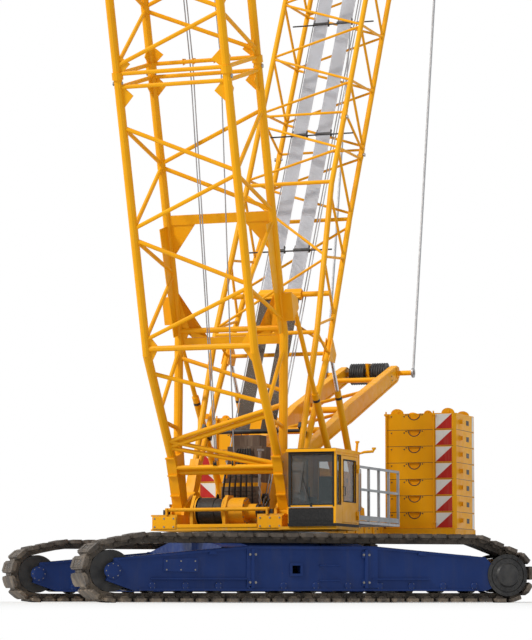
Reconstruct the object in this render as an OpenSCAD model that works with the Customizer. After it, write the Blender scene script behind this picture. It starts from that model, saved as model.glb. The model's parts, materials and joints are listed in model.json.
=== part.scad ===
/* [Crawlers] */
// Length of a crawler over its shoes
crawler_len = 9350; // [8600:50:10200]
// Distance between the centre lines of the two crawlers
gauge = 7200; // [6800:50:7800]
// Height of a crawler over its shoes
crawler_h = 1350; // [1250:10:1500]
// Width of a track shoe
shoe_w = 1200; // [1000:50:1400]
// Thickness of a track shoe
shoe_t = 70; // [50:5:90]
// Wanted pitch from one shoe to the next
shoe_pitch = 310; // [260:10:380]
// Open gap between two shoes
shoe_gap = 45; // [30:5:70]
// Width of the link chain under the shoes
link_w = 560; // [440:20:700]
// Radius of the path round the idler
idler_r = 540; // [480:10:580]
// Radius of the path round the drive sprocket
sprocket_r = 470; // [430:10:520]
// Width of a side frame
side_frame_w = 940; // [800:20:980]
// Turn of the crawlers against the superstructure, in degrees
track_turn = -54; // [-90:1:90]

/* [Car body] */
// Half width of the centre box
car_box_half = 1650; // [1500:50:1900]
// Top of the car body
car_top = 1290; // [1240:10:1400]
// Outer radius of the slewing ring
ring_r = 1560; // [1400:20:1700]
// Height of the slewing ring
ring_h = 170; // [140:10:220]

/* [Superstructure] */
// Height of the deck's frame
deck_h = 330; // [260:10:420]
// Half width of the deck's frame
deck_half = 1430; // [1370:10:1600]
// Front end of the deck
deck_front = 2350; // [2100:50:2600]
// Rear end of the deck
deck_rear = -6250; // [-6800:50:-6000]
// Thickness of the heavy lug plates
lug_t = 60; // [40:5:90]

/* [Boom] */
// Lean of the boom from upright, in degrees
boom_lean = 16.5; // [8:0.5:30]
// Distance of the boom's foot pins ahead of the slewing axis
boom_foot_x = 1400; // [1300:10:1500]
// Height of the boom's foot pins
boom_foot_z = 1860; // [1800:10:1950]
// Distance between the boom's left and right chords
boom_w = 2340; // [2200:20:2500]
// Distance between the boom's front and rear chords
boom_d = 1860; // [1700:20:2000]
// Diameter of a boom chord
chord_d = 178; // [150:2:200]
// Diameter of a boom brace
brace_d = 90; // [70:2:110]
// Length of one bay of the boom's lattice
boom_bay = 2150; // [2000:10:2300]
// Number of bays in a boom section
boom_bays = 5; // [4:1:5]
// Diameter of a boom foot pin
boom_pin_d = 180; // [150:5:200]

/* [Mast] */
// Lean of the mast back from upright, in degrees
mast_lean = 28.5; // [24:0.5:32]
// Distance of the mast's foot pins ahead of the slewing axis
mast_foot_x = 880; // [800:10:950]
// Height of the mast's foot pins
mast_foot_z = 2160; // [2100:10:2250]
// Distance between the mast's left and right chords
mast_w = 2000; // [1900:20:2100]
// Distance between the mast's front and rear chords
mast_d = 1420; // [1300:20:1500]
// Diameter of a mast chord
mast_chord_d = 120; // [100:2:140]
// Diameter of a mast brace
mast_brace_d = 60; // [50:2:76]
// Length of one bay of the mast's lattice
mast_bay = 1700; // [1600:10:1800]
// Number of bays in a mast section
mast_bays = 5; // [4:1:5]
// Diameter of a mast foot pin
mast_pin_d = 150; // [130:5:170]

/* [A-frame] */
// Length of the A-frame from its pivot to its head pin
frame_len = 8100; // [7900:50:8200]
// Rise of the A-frame above level, in degrees
frame_rise = 18.5; // [17:0.5:20]
// Distance of the A-frame's pivot behind the slewing axis
frame_pivot_x = 350; // [300:10:450]
// Height of the A-frame's pivot
frame_pivot_z = 2900; // [2850:10:2950]
// Distance between the centre lines of the two arms
frame_w = 1260; // [1200:20:1300]

/* [Counterweight] */
// Number of slabs in a stack
slab_count = 7; // [5:1:8]
// Height of a slab
slab_h = 372; // [340:2:400]
// Width of a slab
slab_w = 1680; // [1600:20:1680]
// Depth of a slab from front to rear
slab_d = 1600; // [1500:20:1700]
// Distance of a slab's outer face from the centre
slab_out = 3130; // [3100:10:3300]
// Distance of a slab's front face behind the slewing axis
slab_front = 4560; // [4500:20:4640]

/* [Cab] */
// Length of the cab
cab_l = 1500; // [1400:20:1600]
// Width of the cab
cab_w = 1020; // [960:10:1080]
// Height of the cab
cab_h = 1560; // [1500:10:1640]
// Distance of the cab's front face ahead of the slewing axis
cab_front = 2620; // [2560:20:2700]
// Distance of the cab's inner wall from the centre
cab_in = 1640; // [1620:10:1680]
// Thickness of a cab wall
cab_t = 50; // [40:2:60]

/* [Hook] */
// Length of rope between the boom head and the hook block
hook_drop = 4200; // [3600:100:5600]
// Diameter of the hoist rope falls
fall_d = 60; // [40:2:70]

/* [Hidden] */

// Colours
yellow = [0.96, 0.66, 0.02];
blue = [0.10, 0.18, 0.38];
track_black = [0.16, 0.14, 0.13];
steel = [0.45, 0.45, 0.46];
black = [0.08, 0.08, 0.09];
rope_grey = [0.62, 0.63, 0.66];
glass_tint = [0.35, 0.42, 0.48, 0.5];
rail_grey = [0.62, 0.63, 0.64];

// Clearances
seat = 0.3;
side_clear = 6;
pin_clear = 0.15;

// Tubes are drawn as many-sided prisms, so that thousands of them meet cleanly
chord_sides = 12;
brace_sides = 8;

// A straight tube from point a to point b
module tube(a, b, d, sides) {
    v = b - a;
    h = norm(v);
    translate(a)
        rotate([0, acos(v[2] / h), atan2(v[1], v[0])])
            rotate([0, 0, 180 / sides])
                cylinder(d = d, h = h, $fn = sides);
}

// A box given by its lowest and highest corners
module block(lo, hi) {
    translate(lo) cube(hi - lo);
}

// A plate cut to an outline of [x, z] points, from y to y + t
module side_plate(outline, y, t) {
    translate([0, y + t, 0]) rotate([90, 0, 0]) linear_extrude(t) polygon(outline);
}

// A round bar along Y about the point [x, z]
module cross_bar(x, z, d, y0, y1) {
    translate([x, y1, z]) rotate([90, 0, 0]) cylinder(d = d, h = y1 - y0, $fn = 48);
}

// Crawlers
// The track's path runs round four circles of [along, up, radius], anticlockwise
carrier_r = 300;
carrier_in = 1150;
half_len = crawler_len / 2 - shoe_t;
idler_at = [half_len - idler_r, shoe_t + idler_r];
sprocket_at = [-half_len + sprocket_r, shoe_t + sprocket_r];
carrier_z = crawler_h - shoe_t - carrier_r;
path_circles = [
    [sprocket_at[0], sprocket_at[1], sprocket_r],
    [idler_at[0], idler_at[1], idler_r],
    [half_len - carrier_in, carrier_z, carrier_r],
    [-half_len + carrier_in, carrier_z, carrier_r]
];
circle_count = len(path_circles);
function circle(i) = path_circles[i % circle_count];
function gap_vector(i) = [circle(i + 1)[0] - circle(i)[0], circle(i + 1)[1] - circle(i)[1]];
function turn_up(a) = a < 0 ? a + 360 : a;
// Direction of the outward normal on the straight run from circle i to the next
function run_normal(i) =
    atan2(gap_vector(i)[1], gap_vector(i)[0]) - 90
    + asin((circle(i)[2] - circle(i + 1)[2]) / norm(gap_vector(i)));
function run_len(i) = sqrt(pow(norm(gap_vector(i)), 2) - pow(circle(i)[2] - circle(i + 1)[2], 2));
function arc_turn(i) = turn_up(run_normal(i + 1) - run_normal(i));
function arc_len(i) = circle(i + 1)[2] * arc_turn(i) * PI / 180;
path_len = [for (i = [0 : circle_count - 1]) run_len(i) + arc_len(i)] * [1, 1, 1, 1];
// Point [along, up, normal] at distance s on the path
function path_at(s, i = 0) =
    let (n = run_normal(i), c = circle(i), e = circle(i + 1))
    s <= run_len(i)
        ? [c[0] + c[2] * cos(n) - s * sin(n), c[1] + c[2] * sin(n) + s * cos(n), n]
    : s <= run_len(i) + arc_len(i)
        ? let (a = n + (s - run_len(i)) / e[2] * 180 / PI)
          [e[0] + e[2] * cos(a), e[1] + e[2] * sin(a), a]
    : path_at(s - run_len(i) - arc_len(i), i + 1);
function shift_in(p, d) = [p[0] - d * cos(p[2]), p[1] - d * sin(p[2])];
shoe_count = floor(path_len / shoe_pitch);
real_pitch = path_len / shoe_count;
link_t = 110;
link_bite = 45;
// How far the link chain's chords cut in on the inside of a round end
function chord_cut(r) = (r - link_t) * (1 - cos(real_pitch / r * 90 / PI));

module crawler_place(side) {
    rotate([0, 0, track_turn]) translate([0, side * gauge / 2, 0]) children();
}

// One shoe with its chamfered corners, its inner face on the path
module shoe() {
    l = real_pitch - shoe_gap;
    c = 60;
    linear_extrude(shoe_t)
        polygon([
            [-l / 2 + c, -shoe_w / 2], [l / 2 - c, -shoe_w / 2],
            [l / 2, -shoe_w / 2 + 2 * c], [l / 2, shoe_w / 2 - 2 * c],
            [l / 2 - c, shoe_w / 2], [-l / 2 + c, shoe_w / 2],
            [-l / 2, shoe_w / 2 - 2 * c], [-l / 2, -shoe_w / 2 + 2 * c]
        ]);
}

module track(side) {
    outer = [for (i = [0 : shoe_count - 1]) shift_in(path_at(i * real_pitch), -link_bite)];
    inner = [for (i = [0 : shoe_count - 1]) shift_in(path_at(i * real_pitch), link_t)];
    color(track_black)
        crawler_place(side) {
            translate([0, link_w / 2, 0]) rotate([90, 0, 0]) linear_extrude(link_w)
                difference() {
                    polygon(outer);
                    polygon(inner);
                }
            for (i = [0 : shoe_count - 1]) {
                p = path_at((i + 0.5) * real_pitch);
                translate([p[0], 0, p[1]]) rotate([0, 90 - p[2], 0]) shoe();
            }
        }
}

// The side frame's outline, from the idler's end round the top to the sprocket's end
frame_top = crawler_h - shoe_t - link_t - 60;
frame_low = shoe_t + link_t + 40;
tip_x = idler_at[0] + 130;
drive_r = 345;
tail_x = sprocket_at[0] + drive_r + 130;
fork_half = 330;
idler_pin_d = 150;
roller_d = 180;
roller_count = 11;
roller_z = shoe_t + link_t + seat + roller_d / 2;
roller_x0 = sprocket_at[0] + sprocket_r + 250;
roller_x1 = idler_at[0] - idler_r - 250;
module side_frame(side) {
    rib_out = 26;
    color(blue)
        crawler_place(side)
            difference() {
                union() {
                    side_plate([
                        [tip_x, 420], [tip_x - 180, 860], [1300, frame_top], [-1300, frame_top],
                        [tail_x, 900], [tail_x - 200, 700], [tail_x - 200, 300],
                        [tail_x, frame_low], [tip_x - 560, frame_low]
                    ], -side_frame_w / 2, side_frame_w);
                    // Upright ribs on the outer face
                    mirror([0, side < 0 ? 1 : 0, 0])
                        for (x = [-1250, 1250])
                            block([x - 110, side_frame_w / 2 - 1, frame_low + 60],
                                  [x + 110, side_frame_w / 2 + rib_out, frame_top - 60]);
                }
                // Room for the idler and the drive between the cheeks
                translate([idler_at[0], 0, idler_at[1]]) rotate([90, 0, 0])
                    cylinder(r = idler_r - 20, h = 2 * fork_half, center = true, $fn = 96);
                translate([idler_at[0], 0, idler_at[1]])
                    block([0, -fork_half, -400], [800, fork_half, 400]);
                translate([sprocket_at[0], 0, sprocket_at[1]]) rotate([90, 0, 0])
                    cylinder(r = drive_r + seat, h = side_frame_w + 20, center = true, $fn = 96);
                // Idler axle's bore
                cross_bar(idler_at[0], idler_at[1], idler_pin_d + 2 * pin_clear,
                          -side_frame_w / 2 - 10, side_frame_w / 2 + 10);
                // Channel for the track rollers, open below
                block([roller_x0 - 200, -fork_half, frame_low - 10],
                      [roller_x1 + 200, fork_half, roller_z + roller_d / 2 + 30]);
                // Square inspection hole, right through
                block([250, -side_frame_w, 560], [420, side_frame_w, 720]);
            }
}

module drive_sprockets() {
    color(track_black)
        for (side = [-1, 1]) crawler_place(side)
            translate([sprocket_at[0], 0, sprocket_at[1]]) rotate([90, 0, 0]) {
                // Wheel under the link chain, and a wider drum in each cheek of the side frame
                cylinder(r = sprocket_r - link_t - chord_cut(sprocket_r) - seat, h = side_frame_w - 20,
                         center = true, $fn = 96);
                for (s = [-1, 1])
                    translate([0, 0, s * (side_frame_w / 2 + link_w / 2 + 20) / 2])
                        cylinder(r = drive_r, h = side_frame_w / 2 - link_w / 2 - 20, center = true, $fn = 96);
            }
}

module idlers() {
    color(track_black)
        for (side = [-1, 1]) crawler_place(side)
            translate([idler_at[0], 0, idler_at[1]]) rotate([90, 0, 0]) {
                cylinder(r = idler_r - link_t - chord_cut(idler_r) - seat, h = 2 * fork_half - 80, center = true, $fn = 96);
                cylinder(d = idler_pin_d, h = side_frame_w, center = true, $fn = 48);
            }
}

module track_rollers() {
    color(track_black)
        for (side = [-1, 1], i = [0 : roller_count - 1])
            crawler_place(side)
                cross_bar(roller_x0 + (roller_x1 - roller_x0) * i / (roller_count - 1), roller_z, roller_d,
                          seat - fork_half, fork_half - seat);
}

// Car body with its four legs to the side frames
module car_body() {
    low = 360;
    inner_face = gauge / 2 - side_frame_w / 2 - seat;
    color(blue)
        rotate([0, 0, track_turn]) {
            difference() {
                translate([0, 0, low]) linear_extrude(car_top - low)
                    polygon([
                        [-car_box_half, -900], [-900, -car_box_half], [900, -car_box_half],
                        [car_box_half, -900], [car_box_half, 900], [900, car_box_half],
                        [-900, car_box_half], [-car_box_half, 900]
                    ]);
                translate([0, 0, low - 10]) cylinder(r = 900, h = 500, $fn = 64);
            }
            for (x = [-1, 1], y = [-1, 1])
                linear_extrude_leg(x, y, inner_face, low);
        }
}

// One leg: deep at the box, shallower at the side frame
module linear_extrude_leg(x, y, reach, low) {
    leg_x = 1250;
    leg_w = 620;
    translate([x * leg_x - leg_w / 2, 0, 0])
        rotate([90, 0, 90])
            linear_extrude(leg_w)
                polygon([
                    [y * 900, low], [y * reach, low + 120],
                    [y * reach, car_top - 200], [y * 1400, car_top - 20], [y * 900, car_top - 20]
                ]);
}

ring_z = car_top;
module slewing_ring() {
    color(steel)
        translate([0, 0, ring_z + seat])
            difference() {
                cylinder(r = ring_r, h = ring_h - 2 * seat, $fn = 96);
                translate([0, 0, -1]) cylinder(r = ring_r - 300, h = ring_h + 2, $fn = 96);
            }
}

// Superstructure
deck_z = ring_z + ring_h;
deck_top = deck_z + deck_h;
leg_y = boom_w / 2;
leg_w = 210;
foot_eye_d = 350;
foot_pocket_d = foot_eye_d + 150;
module deck() {
    color(yellow) {
        difference() {
            block([deck_rear, -deck_half, deck_z], [deck_front, deck_half, deck_top]);
            // Winch well at the front, open on top
            block([deck_front - 900, -880, deck_z + 60], [deck_front + 10, 880, deck_top + 10]);
            // Pockets under the boom's feet, between the lugs, and under their pins
            for (s = [-1, 1]) mirror([0, s < 0 ? 1 : 0, 0]) {
                cross_bar(boom_foot_x, boom_foot_z, foot_pocket_d, inner_lug_y + lug_t, outer_lug_y);
                cross_bar(boom_foot_x, boom_foot_z, boom_pin_d + 2 * seat, inner_lug_y - 5, outer_lug_y + lug_t + 5);
            }
        }
        // Cab outrigger
        block([cab_front - cab_l - 60, deck_half - 5, deck_z], [cab_front - 40, cab_in + cab_w, deck_z + 60]);
    }
}

// Lug plates that carry the boom's and the mast's foot pins, with the pins
inner_lug_y = leg_y - leg_w / 2 - side_clear - lug_t;
outer_lug_y = leg_y + leg_w / 2 + side_clear;
module foot_lugs() {
    color(yellow)
        for (s = [-1, 1]) mirror([0, s < 0 ? 1 : 0, 0]) {
            for (y = [inner_lug_y, outer_lug_y])
                side_plate([
                    [boom_foot_x + 260, deck_top + seat], [boom_foot_x + 230, boom_foot_z + 60],
                    [boom_foot_x + 60, boom_foot_z + 190], [mast_foot_x + 120, mast_foot_z + 150],
                    [mast_foot_x - 120, mast_foot_z + 150], [mast_foot_x - 420, deck_top + seat]
                ], y, lug_t);
            cross_bar(boom_foot_x, boom_foot_z, boom_pin_d, inner_lug_y, outer_lug_y + lug_t);
            cross_bar(mast_foot_x, mast_foot_z, mast_pin_d, inner_lug_y, outer_lug_y + lug_t);
        }
}

// Posts that carry the A-frame's pivot, with its pin
arm_t = 150;
post_t = 50;
post_in = frame_w / 2 - arm_t / 2 - side_clear - post_t;
post_out = frame_w / 2 + arm_t / 2 + side_clear;
frame_pin_d = 130;
module frame_posts() {
    color(yellow)
        for (s = [-1, 1]) mirror([0, s < 0 ? 1 : 0, 0]) {
            for (y = [post_in, post_out])
                side_plate([
                    [-frame_pivot_x - 550, deck_top + seat], [-frame_pivot_x + 420, deck_top + seat],
                    [-frame_pivot_x + 170, frame_pivot_z + 40], [-frame_pivot_x + 60, frame_pivot_z + 150],
                    [-frame_pivot_x - 60, frame_pivot_z + 150], [-frame_pivot_x - 170, frame_pivot_z + 40]
                ], y, post_t);
            cross_bar(-frame_pivot_x, frame_pivot_z, frame_pin_d, post_in, post_out + post_t);
        }
}

// Brackets on the deck for the feet of the backstops
module backstop_feet() {
    color(yellow)
        for (s = [-1, 1]) mirror([0, s < 0 ? 1 : 0, 0]) {
            stop_bracket(boom_stop_foot, boom_stop_y);
            stop_bracket(mast_stop_foot, mast_stop_y);
        }
}
module stop_bracket(foot, y) {
    for (e = [-1, 1])
        side_plate([
            [foot[0] - 190, deck_top + seat], [foot[0] + 190, deck_top + seat],
            [foot[0] + 110, foot[1] + 60], [foot[0] - 110, foot[1] + 60]
        ], y + e * (stop_eye_w / 2 + side_clear + 8) - 8, 16);
    cross_bar(foot[0], foot[1], stop_pin_d, y - stop_eye_w / 2 - side_clear - 16, y + stop_eye_w / 2 + side_clear + 16);
}

winch_x = deck_front - 420;
winch_z = deck_z + 60 + 340;
winch_y0 = -560;
winch_y1 = 80;
module front_winch_frame() {
    color(yellow) {
        for (y = [winch_y0 - 70, winch_y1 + side_clear])
            side_plate([
                [winch_x - 330, deck_z + 60 + seat], [winch_x + 330, deck_z + 60 + seat],
                [winch_x + 330, winch_z + 60], [winch_x + 150, winch_z + 330],
                [winch_x - 150, winch_z + 330], [winch_x - 330, winch_z + 60]
            ], y, 64);
        // Gear case and motor on the left side
        cross_bar(winch_x, winch_z, 560, winch_y1 + side_clear + 64, winch_y1 + 420);
        cross_bar(winch_x, winch_z, 300, winch_y1 + 420, winch_y1 + 660);
        // Shaft stub that carries the drum
        cross_bar(winch_x, winch_z, 120, winch_y0 - 70, winch_y1 + 70);
    }
}
module front_winch_drum() {
    color(black)
        difference() {
            union() {
                cross_bar(winch_x, winch_z, 470, winch_y0, winch_y1);
                cross_bar(winch_x, winch_z, 600, winch_y0, winch_y0 + 40);
                cross_bar(winch_x, winch_z, 600, winch_y1 - 40, winch_y1);
            }
            cross_bar(winch_x, winch_z, 120 + 2 * pin_clear, winch_y0 - 10, winch_y1 + 10);
        }
}

// Machinery between the feet and the house behind it
post_rear = -1150;
pump_half = 480;
module pump_housing() {
    color(yellow)
        block([post_rear + 1150, -pump_half, deck_top + seat], [post_rear + 2100, pump_half, deck_top + 700]);
}
house_front = -1250;
house_rear = -4300;
house_half = 980;
house_h = 1100;
module engine_house() {
    color(yellow)
        difference() {
            block([house_rear, -house_half, deck_top + seat], [house_front, house_half, deck_top + house_h]);
            for (y = [-1, 1], i = [0 : 7])
                translate([house_rear + 250 + i * 330, y * house_half, deck_top])
                    block([0, -30, 300], [200, 30, house_h - 200]);
        }
}

// Counterweight
base_z = deck_z;
base_h = 180;
module counterweight_base() {
    x1 = -slab_front + 60;
    x0 = x1 - slab_d - 80;
    color(yellow) {
        for (s = [-1, 1]) mirror([0, s < 0 ? 1 : 0, 0])
            block([x0, deck_half + seat, base_z], [x1, slab_out, base_z + base_h]);
    }
}
module slab_stack(s) {
    y0 = slab_out - slab_w;
    color(yellow)
        mirror([0, s < 0 ? 1 : 0, 0])
            for (i = [0 : slab_count - 1])
                translate([-slab_front - slab_d, y0, base_z + base_h + seat + i * (slab_h + seat)])
                    difference() {
                        linear_extrude(slab_h)
                            polygon([
                                [60, 0], [slab_d - 60, 0], [slab_d, 60], [slab_d, slab_w - 60],
                                [slab_d - 60, slab_w], [60, slab_w], [0, slab_w - 60], [0, 60]
                            ]);
                        // Half-round lifting recess in the front face
                        translate([slab_d + 40, slab_w * 0.42, slab_h])
                            rotate([0, 90, 0])
                                cylinder(d = 260, h = 160, center = true, $fn = 48);
                    }
}

// Cab
cab_z = deck_z + 60 + seat;
cab_back = cab_front - cab_l;
cab_out = cab_in + cab_w;
cab_top = cab_z + cab_h;
roof_t = 60;
floor_t = 60;
door_x0 = cab_back + 120;
door_x1 = cab_front - 420;
door_z0 = cab_z + floor_t + 30;
door_z1 = cab_top - roof_t - 60;
door_gap = 8;
hinge_d = 44;
hinge_pin_d = 20;
hinge_h = 90;
hinge_x = door_x0 - door_gap / 2;
hinge_y = cab_out + 26;
hinge_zs = [door_z0 + 150, door_z1 - 240];
module cab_floor() {
    color(black)
        block([cab_back, cab_in, cab_z], [cab_front, cab_out, cab_z + floor_t]);
}
module cab_shell() {
    z0 = cab_z + floor_t + seat;
    z1 = cab_top - roof_t;
    win_z = z0 + 380;
    color(yellow)
        difference() {
            block([cab_back, cab_in, z0], [cab_front, cab_out, z1]);
            block([cab_back + cab_t, cab_in + cab_t, z0 - 10], [cab_front - cab_t, cab_out - cab_t, z1 + 10]);
            // Windscreen
            block([cab_front - cab_t - 10, cab_in + 70, win_z], [cab_front + 10, cab_out - 70, z1 - 60]);
            // Inner side window
            block([cab_back + 300, cab_in - 10, win_z], [cab_front - 100, cab_in + cab_t + 10, z1 - 80]);
            // Rear window
            block([cab_back - 10, cab_in + 160, win_z + 120], [cab_back + cab_t + 10, cab_out - 160, z1 - 120]);
            // Door opening and the quarter window ahead of it
            block([door_x0 - door_gap, cab_out - cab_t - 10, door_z0 - door_gap],
                  [door_x1 + door_gap, cab_out + 10, door_z1 + door_gap]);
            block([door_x1 + 90, cab_out - cab_t - 10, win_z], [cab_front - 80, cab_out + 10, z1 - 60]);
        }
    // The shell's half of each door hinge, with its pin
    color(yellow)
        for (z = hinge_zs) {
            translate([hinge_x, hinge_y, z - hinge_h - seat]) cylinder(d = hinge_d, h = hinge_h, $fn = 32);
            block([hinge_x - 60, cab_out - 5, z - hinge_h - seat], [hinge_x, hinge_y + 6, z - seat]);
            translate([hinge_x, hinge_y, z - 20]) cylinder(d = hinge_pin_d, h = hinge_h + 20, $fn = 32);
        }
}
module cab_roof() {
    color(yellow)
        block([cab_back - 20, cab_in - 20, cab_top - roof_t + seat], [cab_front + 60, cab_out + 20, cab_top]);
}
module cab_door() {
    color(yellow) {
        difference() {
            block([door_x0, cab_out - cab_t, door_z0], [door_x1, cab_out, door_z1]);
            block([door_x0 + 80, cab_out - cab_t - 10, door_z0 + 420], [door_x1 - 80, cab_out + 10, door_z1 - 80]);
        }
        for (z = hinge_zs)
            difference() {
                union() {
                    translate([hinge_x, hinge_y, z]) cylinder(d = hinge_d, h = hinge_h, $fn = 32);
                    block([hinge_x, cab_out - 5, z], [door_x0 + 60, hinge_y + 6, z + hinge_h]);
                }
                translate([hinge_x, hinge_y, z - 10]) cylinder(d = hinge_pin_d + 2 * pin_clear, h = hinge_h + 20, $fn = 32);
            }
    }
}
module cab_glass() {
    z1 = cab_top - roof_t;
    win_z = cab_z + floor_t + seat + 380;
    color(glass_tint) {
        block([cab_front - 30, cab_in + 70 + seat, win_z + seat], [cab_front - 22, cab_out - 70 - seat, z1 - 60 - seat]);
        block([cab_back + 300 + seat, cab_in + 20, win_z + seat], [cab_front - 100 - seat, cab_in + 28, z1 - 80 - seat]);
    }
}
module cab_seat() {
    cx = cab_back + 520;
    cy = (cab_in + cab_out) / 2;
    z = cab_z + floor_t + seat;
    color(black) {
        block([cx - 120, cy - 120, z], [cx + 120, cy + 120, z + 300]);
        block([cx - 260, cy - 250, z + 300], [cx + 260, cy + 250, z + 420]);
        block([cx - 320, cy - 230, z + 420], [cx - 220, cy + 230, z + 1020]);
    }
}

// Walkway behind the cab on the left side
walk_z = deck_z + 150;
walk_x0 = -1750;
walk_x1 = cab_back - 40;
module walkway() {
    color(rail_grey)
        block([walk_x0, deck_half + seat, walk_z], [walk_x1, cab_out, walk_z + 50]);
}
module railings() {
    post = 50;
    rail_top = 1150;
    z = walk_z + 50 + seat;
    y = cab_out - post;
    color(rail_grey) {
        for (i = [0 : 4])
            block([walk_x0 + i * (walk_x1 - post - walk_x0) / 4, y, z],
                  [walk_x0 + i * (walk_x1 - post - walk_x0) / 4 + post, y + post, z + rail_top]);
        for (h = [rail_top - post, rail_top * 0.55])
            block([walk_x0, y + 5, z + h], [walk_x1, y + post - 5, z + h + post]);
    }
}

// Boom, drawn upright in its own frame: +X is the front, Z runs along it
module boom_place() {
    translate([boom_foot_x, 0, boom_foot_z]) rotate([0, boom_lean, 0]) children();
}
foot_taper = 3550;
base_len = foot_taper + 300 + 2.5 * boom_bay;
stop_eye_w = 110;
stop_pin_d = 80;
section_len = boom_bays * boom_bay;

// Four chords of a lattice section from z0 to z1
module chords(w, d, z0, z1, dia) {
    for (x = [-1, 1], y = [-1, 1])
        tube([x * d / 2, y * w / 2, z0], [x * d / 2, y * w / 2, z1], dia, chord_sides);
}
// Zigzag braces on all four faces, with n bays of the given pitch
module zigzags(w, d, z0, pitch, n, dia, faces = [1, 1, 1, 1]) {
    // Faces in the order front, rear, left, right
    g = dia * 0.66;
    e = dia * 0.58;
    for (i = [0 : n - 1]) {
        a = z0 + i * pitch;
        m = a + pitch / 2;
        b = a + pitch;
        for (f = [0, 1]) if (faces[f]) {
            x = f == 0 ? d / 2 : -d / 2;
            k = (f == 0 ? 1 : -1) * (w / 2 - e);
            tube([x, -k, a + g], [x, k, m - g], dia, brace_sides);
            tube([x, k, m + g], [x, -k, b - g], dia, brace_sides);
        }
        for (f = [2, 3]) if (faces[f]) {
            y = f == 2 ? w / 2 : -w / 2;
            k = (f == 2 ? 1 : -1) * (d / 2 - e);
            tube([-k, y, a + g], [k, y, m - g], dia, brace_sides);
            tube([k, y, m + g], [-k, y, b - g], dia, brace_sides);
        }
    }
}
// A square of braces across the section
module frame_ring(w, d, z, dia) {
    e = dia * 0.58;
    for (s = [-1, 1]) {
        tube([s * d / 2, -w / 2 + e, z], [s * d / 2, w / 2 - e, z], dia, brace_sides);
        tube([-d / 2 + e, s * w / 2, z], [d / 2 - e, s * w / 2, z], dia, brace_sides);
    }
}

// Height of the box legs, and a foot chord's distance from the middle at height z
leg_top = 1250;
module leg_form() {
    for (y = [-1, 1]) {
        side_plate([[-150, 0], [150, 0], [270, leg_top], [-270, leg_top]], y * leg_y - leg_w / 2, leg_w);
        cross_bar(0, 0, foot_eye_d, y * leg_y - leg_w / 2, y * leg_y + leg_w / 2);
    }
}
// A box leg with its foot eye
module boom_foot(s) {
    color(yellow)
        boom_place()
            difference() {
                intersection() {
                    leg_form();
                    mirror([0, s < 0 ? 1 : 0, 0]) block([-1000, 0, -1000], [1000, 2 * leg_y, 2 * leg_top]);
                }
                cross_bar(0, 0, boom_pin_d + 2 * pin_clear, s * leg_y - leg_w, s * leg_y + leg_w);
            }
}
function foot_x(z) = 165 + (boom_d / 2 - 165) * (z - leg_top + 60) / (foot_taper - leg_top + 100);
module boom_base() {
    w = boom_w;
    d = boom_d;
    e = brace_d * 0.58;
    color(yellow)
        boom_place()
            difference() {
                union() {
                    chords(w, d, foot_taper, base_len, chord_d);
                    for (x = [-1, 1], y = [-1, 1])
                        tube([x * 165, y * w / 2, leg_top - 60], [x * d / 2, y * w / 2, foot_taper + 40],
                             chord_d + 10, chord_sides);
                    zigzags(w, d, portal_z0, boom_bay, 1, brace_d, [1, 0, 1, 1]);
                    zigzags(w, d, portal_z0 + boom_bay + 150, boom_bay, 1, brace_d);
                    frame_ring(w, d, base_len - 150, brace_d);
                    boom_portal();
                    // Heavy cross tubes between the legs, front and rear
                    for (x = [-1, 1]) {
                        tube([x * 120, -w / 2 + e, 900], [x * 120, w / 2 - e, 900], 120, brace_sides);
                        tube([x * foot_x(1500), -w / 2 + e, 1500], [x * foot_x(2150), w / 2 - e, 2150], 120, brace_sides);
                        tube([x * foot_x(2450), w / 2 - e, 2450], [x * foot_x(3150), -w / 2 + e, 3150],
                             brace_d, brace_sides);
                        tube([x * d / 2, -w / 2 + e, foot_taper + 150], [x * d / 2, w / 2 - e, foot_taper + 150],
                             120, brace_sides);
                    }
                    // Side braces of the tapered foot
                    for (y = [-1, 1]) {
                        tube([foot_x(2350) - e, y * w / 2, 2350], [-foot_x(3250) + e, y * w / 2, 3250],
                             brace_d, brace_sides);
                        tube([foot_x(2050) - e, y * w / 2, 2050], [-foot_x(1750) + e, y * w / 2, 1750],
                             brace_d, brace_sides);
                    }
                }
                leg_form();
            }
}

portal_z0 = foot_taper + 300;
portal_z1 = portal_z0 + boom_bay;
// Beams of the open rear portal, and the brackets that hold the backstops' rods
module boom_portal() {
    x = -boom_d / 2;
    block([x - 30, -leg_y, portal_z1 - 40], [x + 30, leg_y, portal_z1 + 160]);
    block([x - 30, -leg_y, portal_z0 - 480], [x + 30, leg_y, portal_z0 - 300]);
    for (s = [-1, 1]) mirror([0, s < 0 ? 1 : 0, 0]) {
        stop_cheeks(x, boom_stop_s, boom_stop_y);
        block([x - 20, leg_y, boom_stop_s - 300], [x + 70, boom_stop_y + stop_eye_w / 2 + side_clear + 10, boom_stop_s + 290]);
    }
}
module stop_cheeks(x, z, y) {
    for (e = [-1, 1])
        side_plate([
            [x - stop_back - 90, z - 110], [x + 70, z - 300], [x + 70, z + 300], [x - stop_back - 90, z + 110]
        ], y + e * (stop_eye_w / 2 + side_clear + 10) - 10, 20);
}

joint_gap = seat;
end_gap = 240;
module boom_section(index) {
    z0 = base_len + joint_gap + index * (section_len + joint_gap);
    color(yellow)
        boom_place() {
            chords(boom_w, boom_d, z0, z0 + section_len, chord_d);
            zigzags(boom_w, boom_d, z0 + end_gap, (section_len - 2 * end_gap) / boom_bays, boom_bays, brace_d);
            frame_ring(boom_w, boom_d, z0 + end_gap / 2, brace_d);
            // Joint lugs on the chords' ends
            for (x = [-1, 1], y = [-1, 1])
                tube([x * boom_d / 2, y * boom_w / 2, z0], [x * boom_d / 2, y * boom_w / 2, z0 + 150],
                     chord_d + 50, chord_sides);
        }
}

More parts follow.
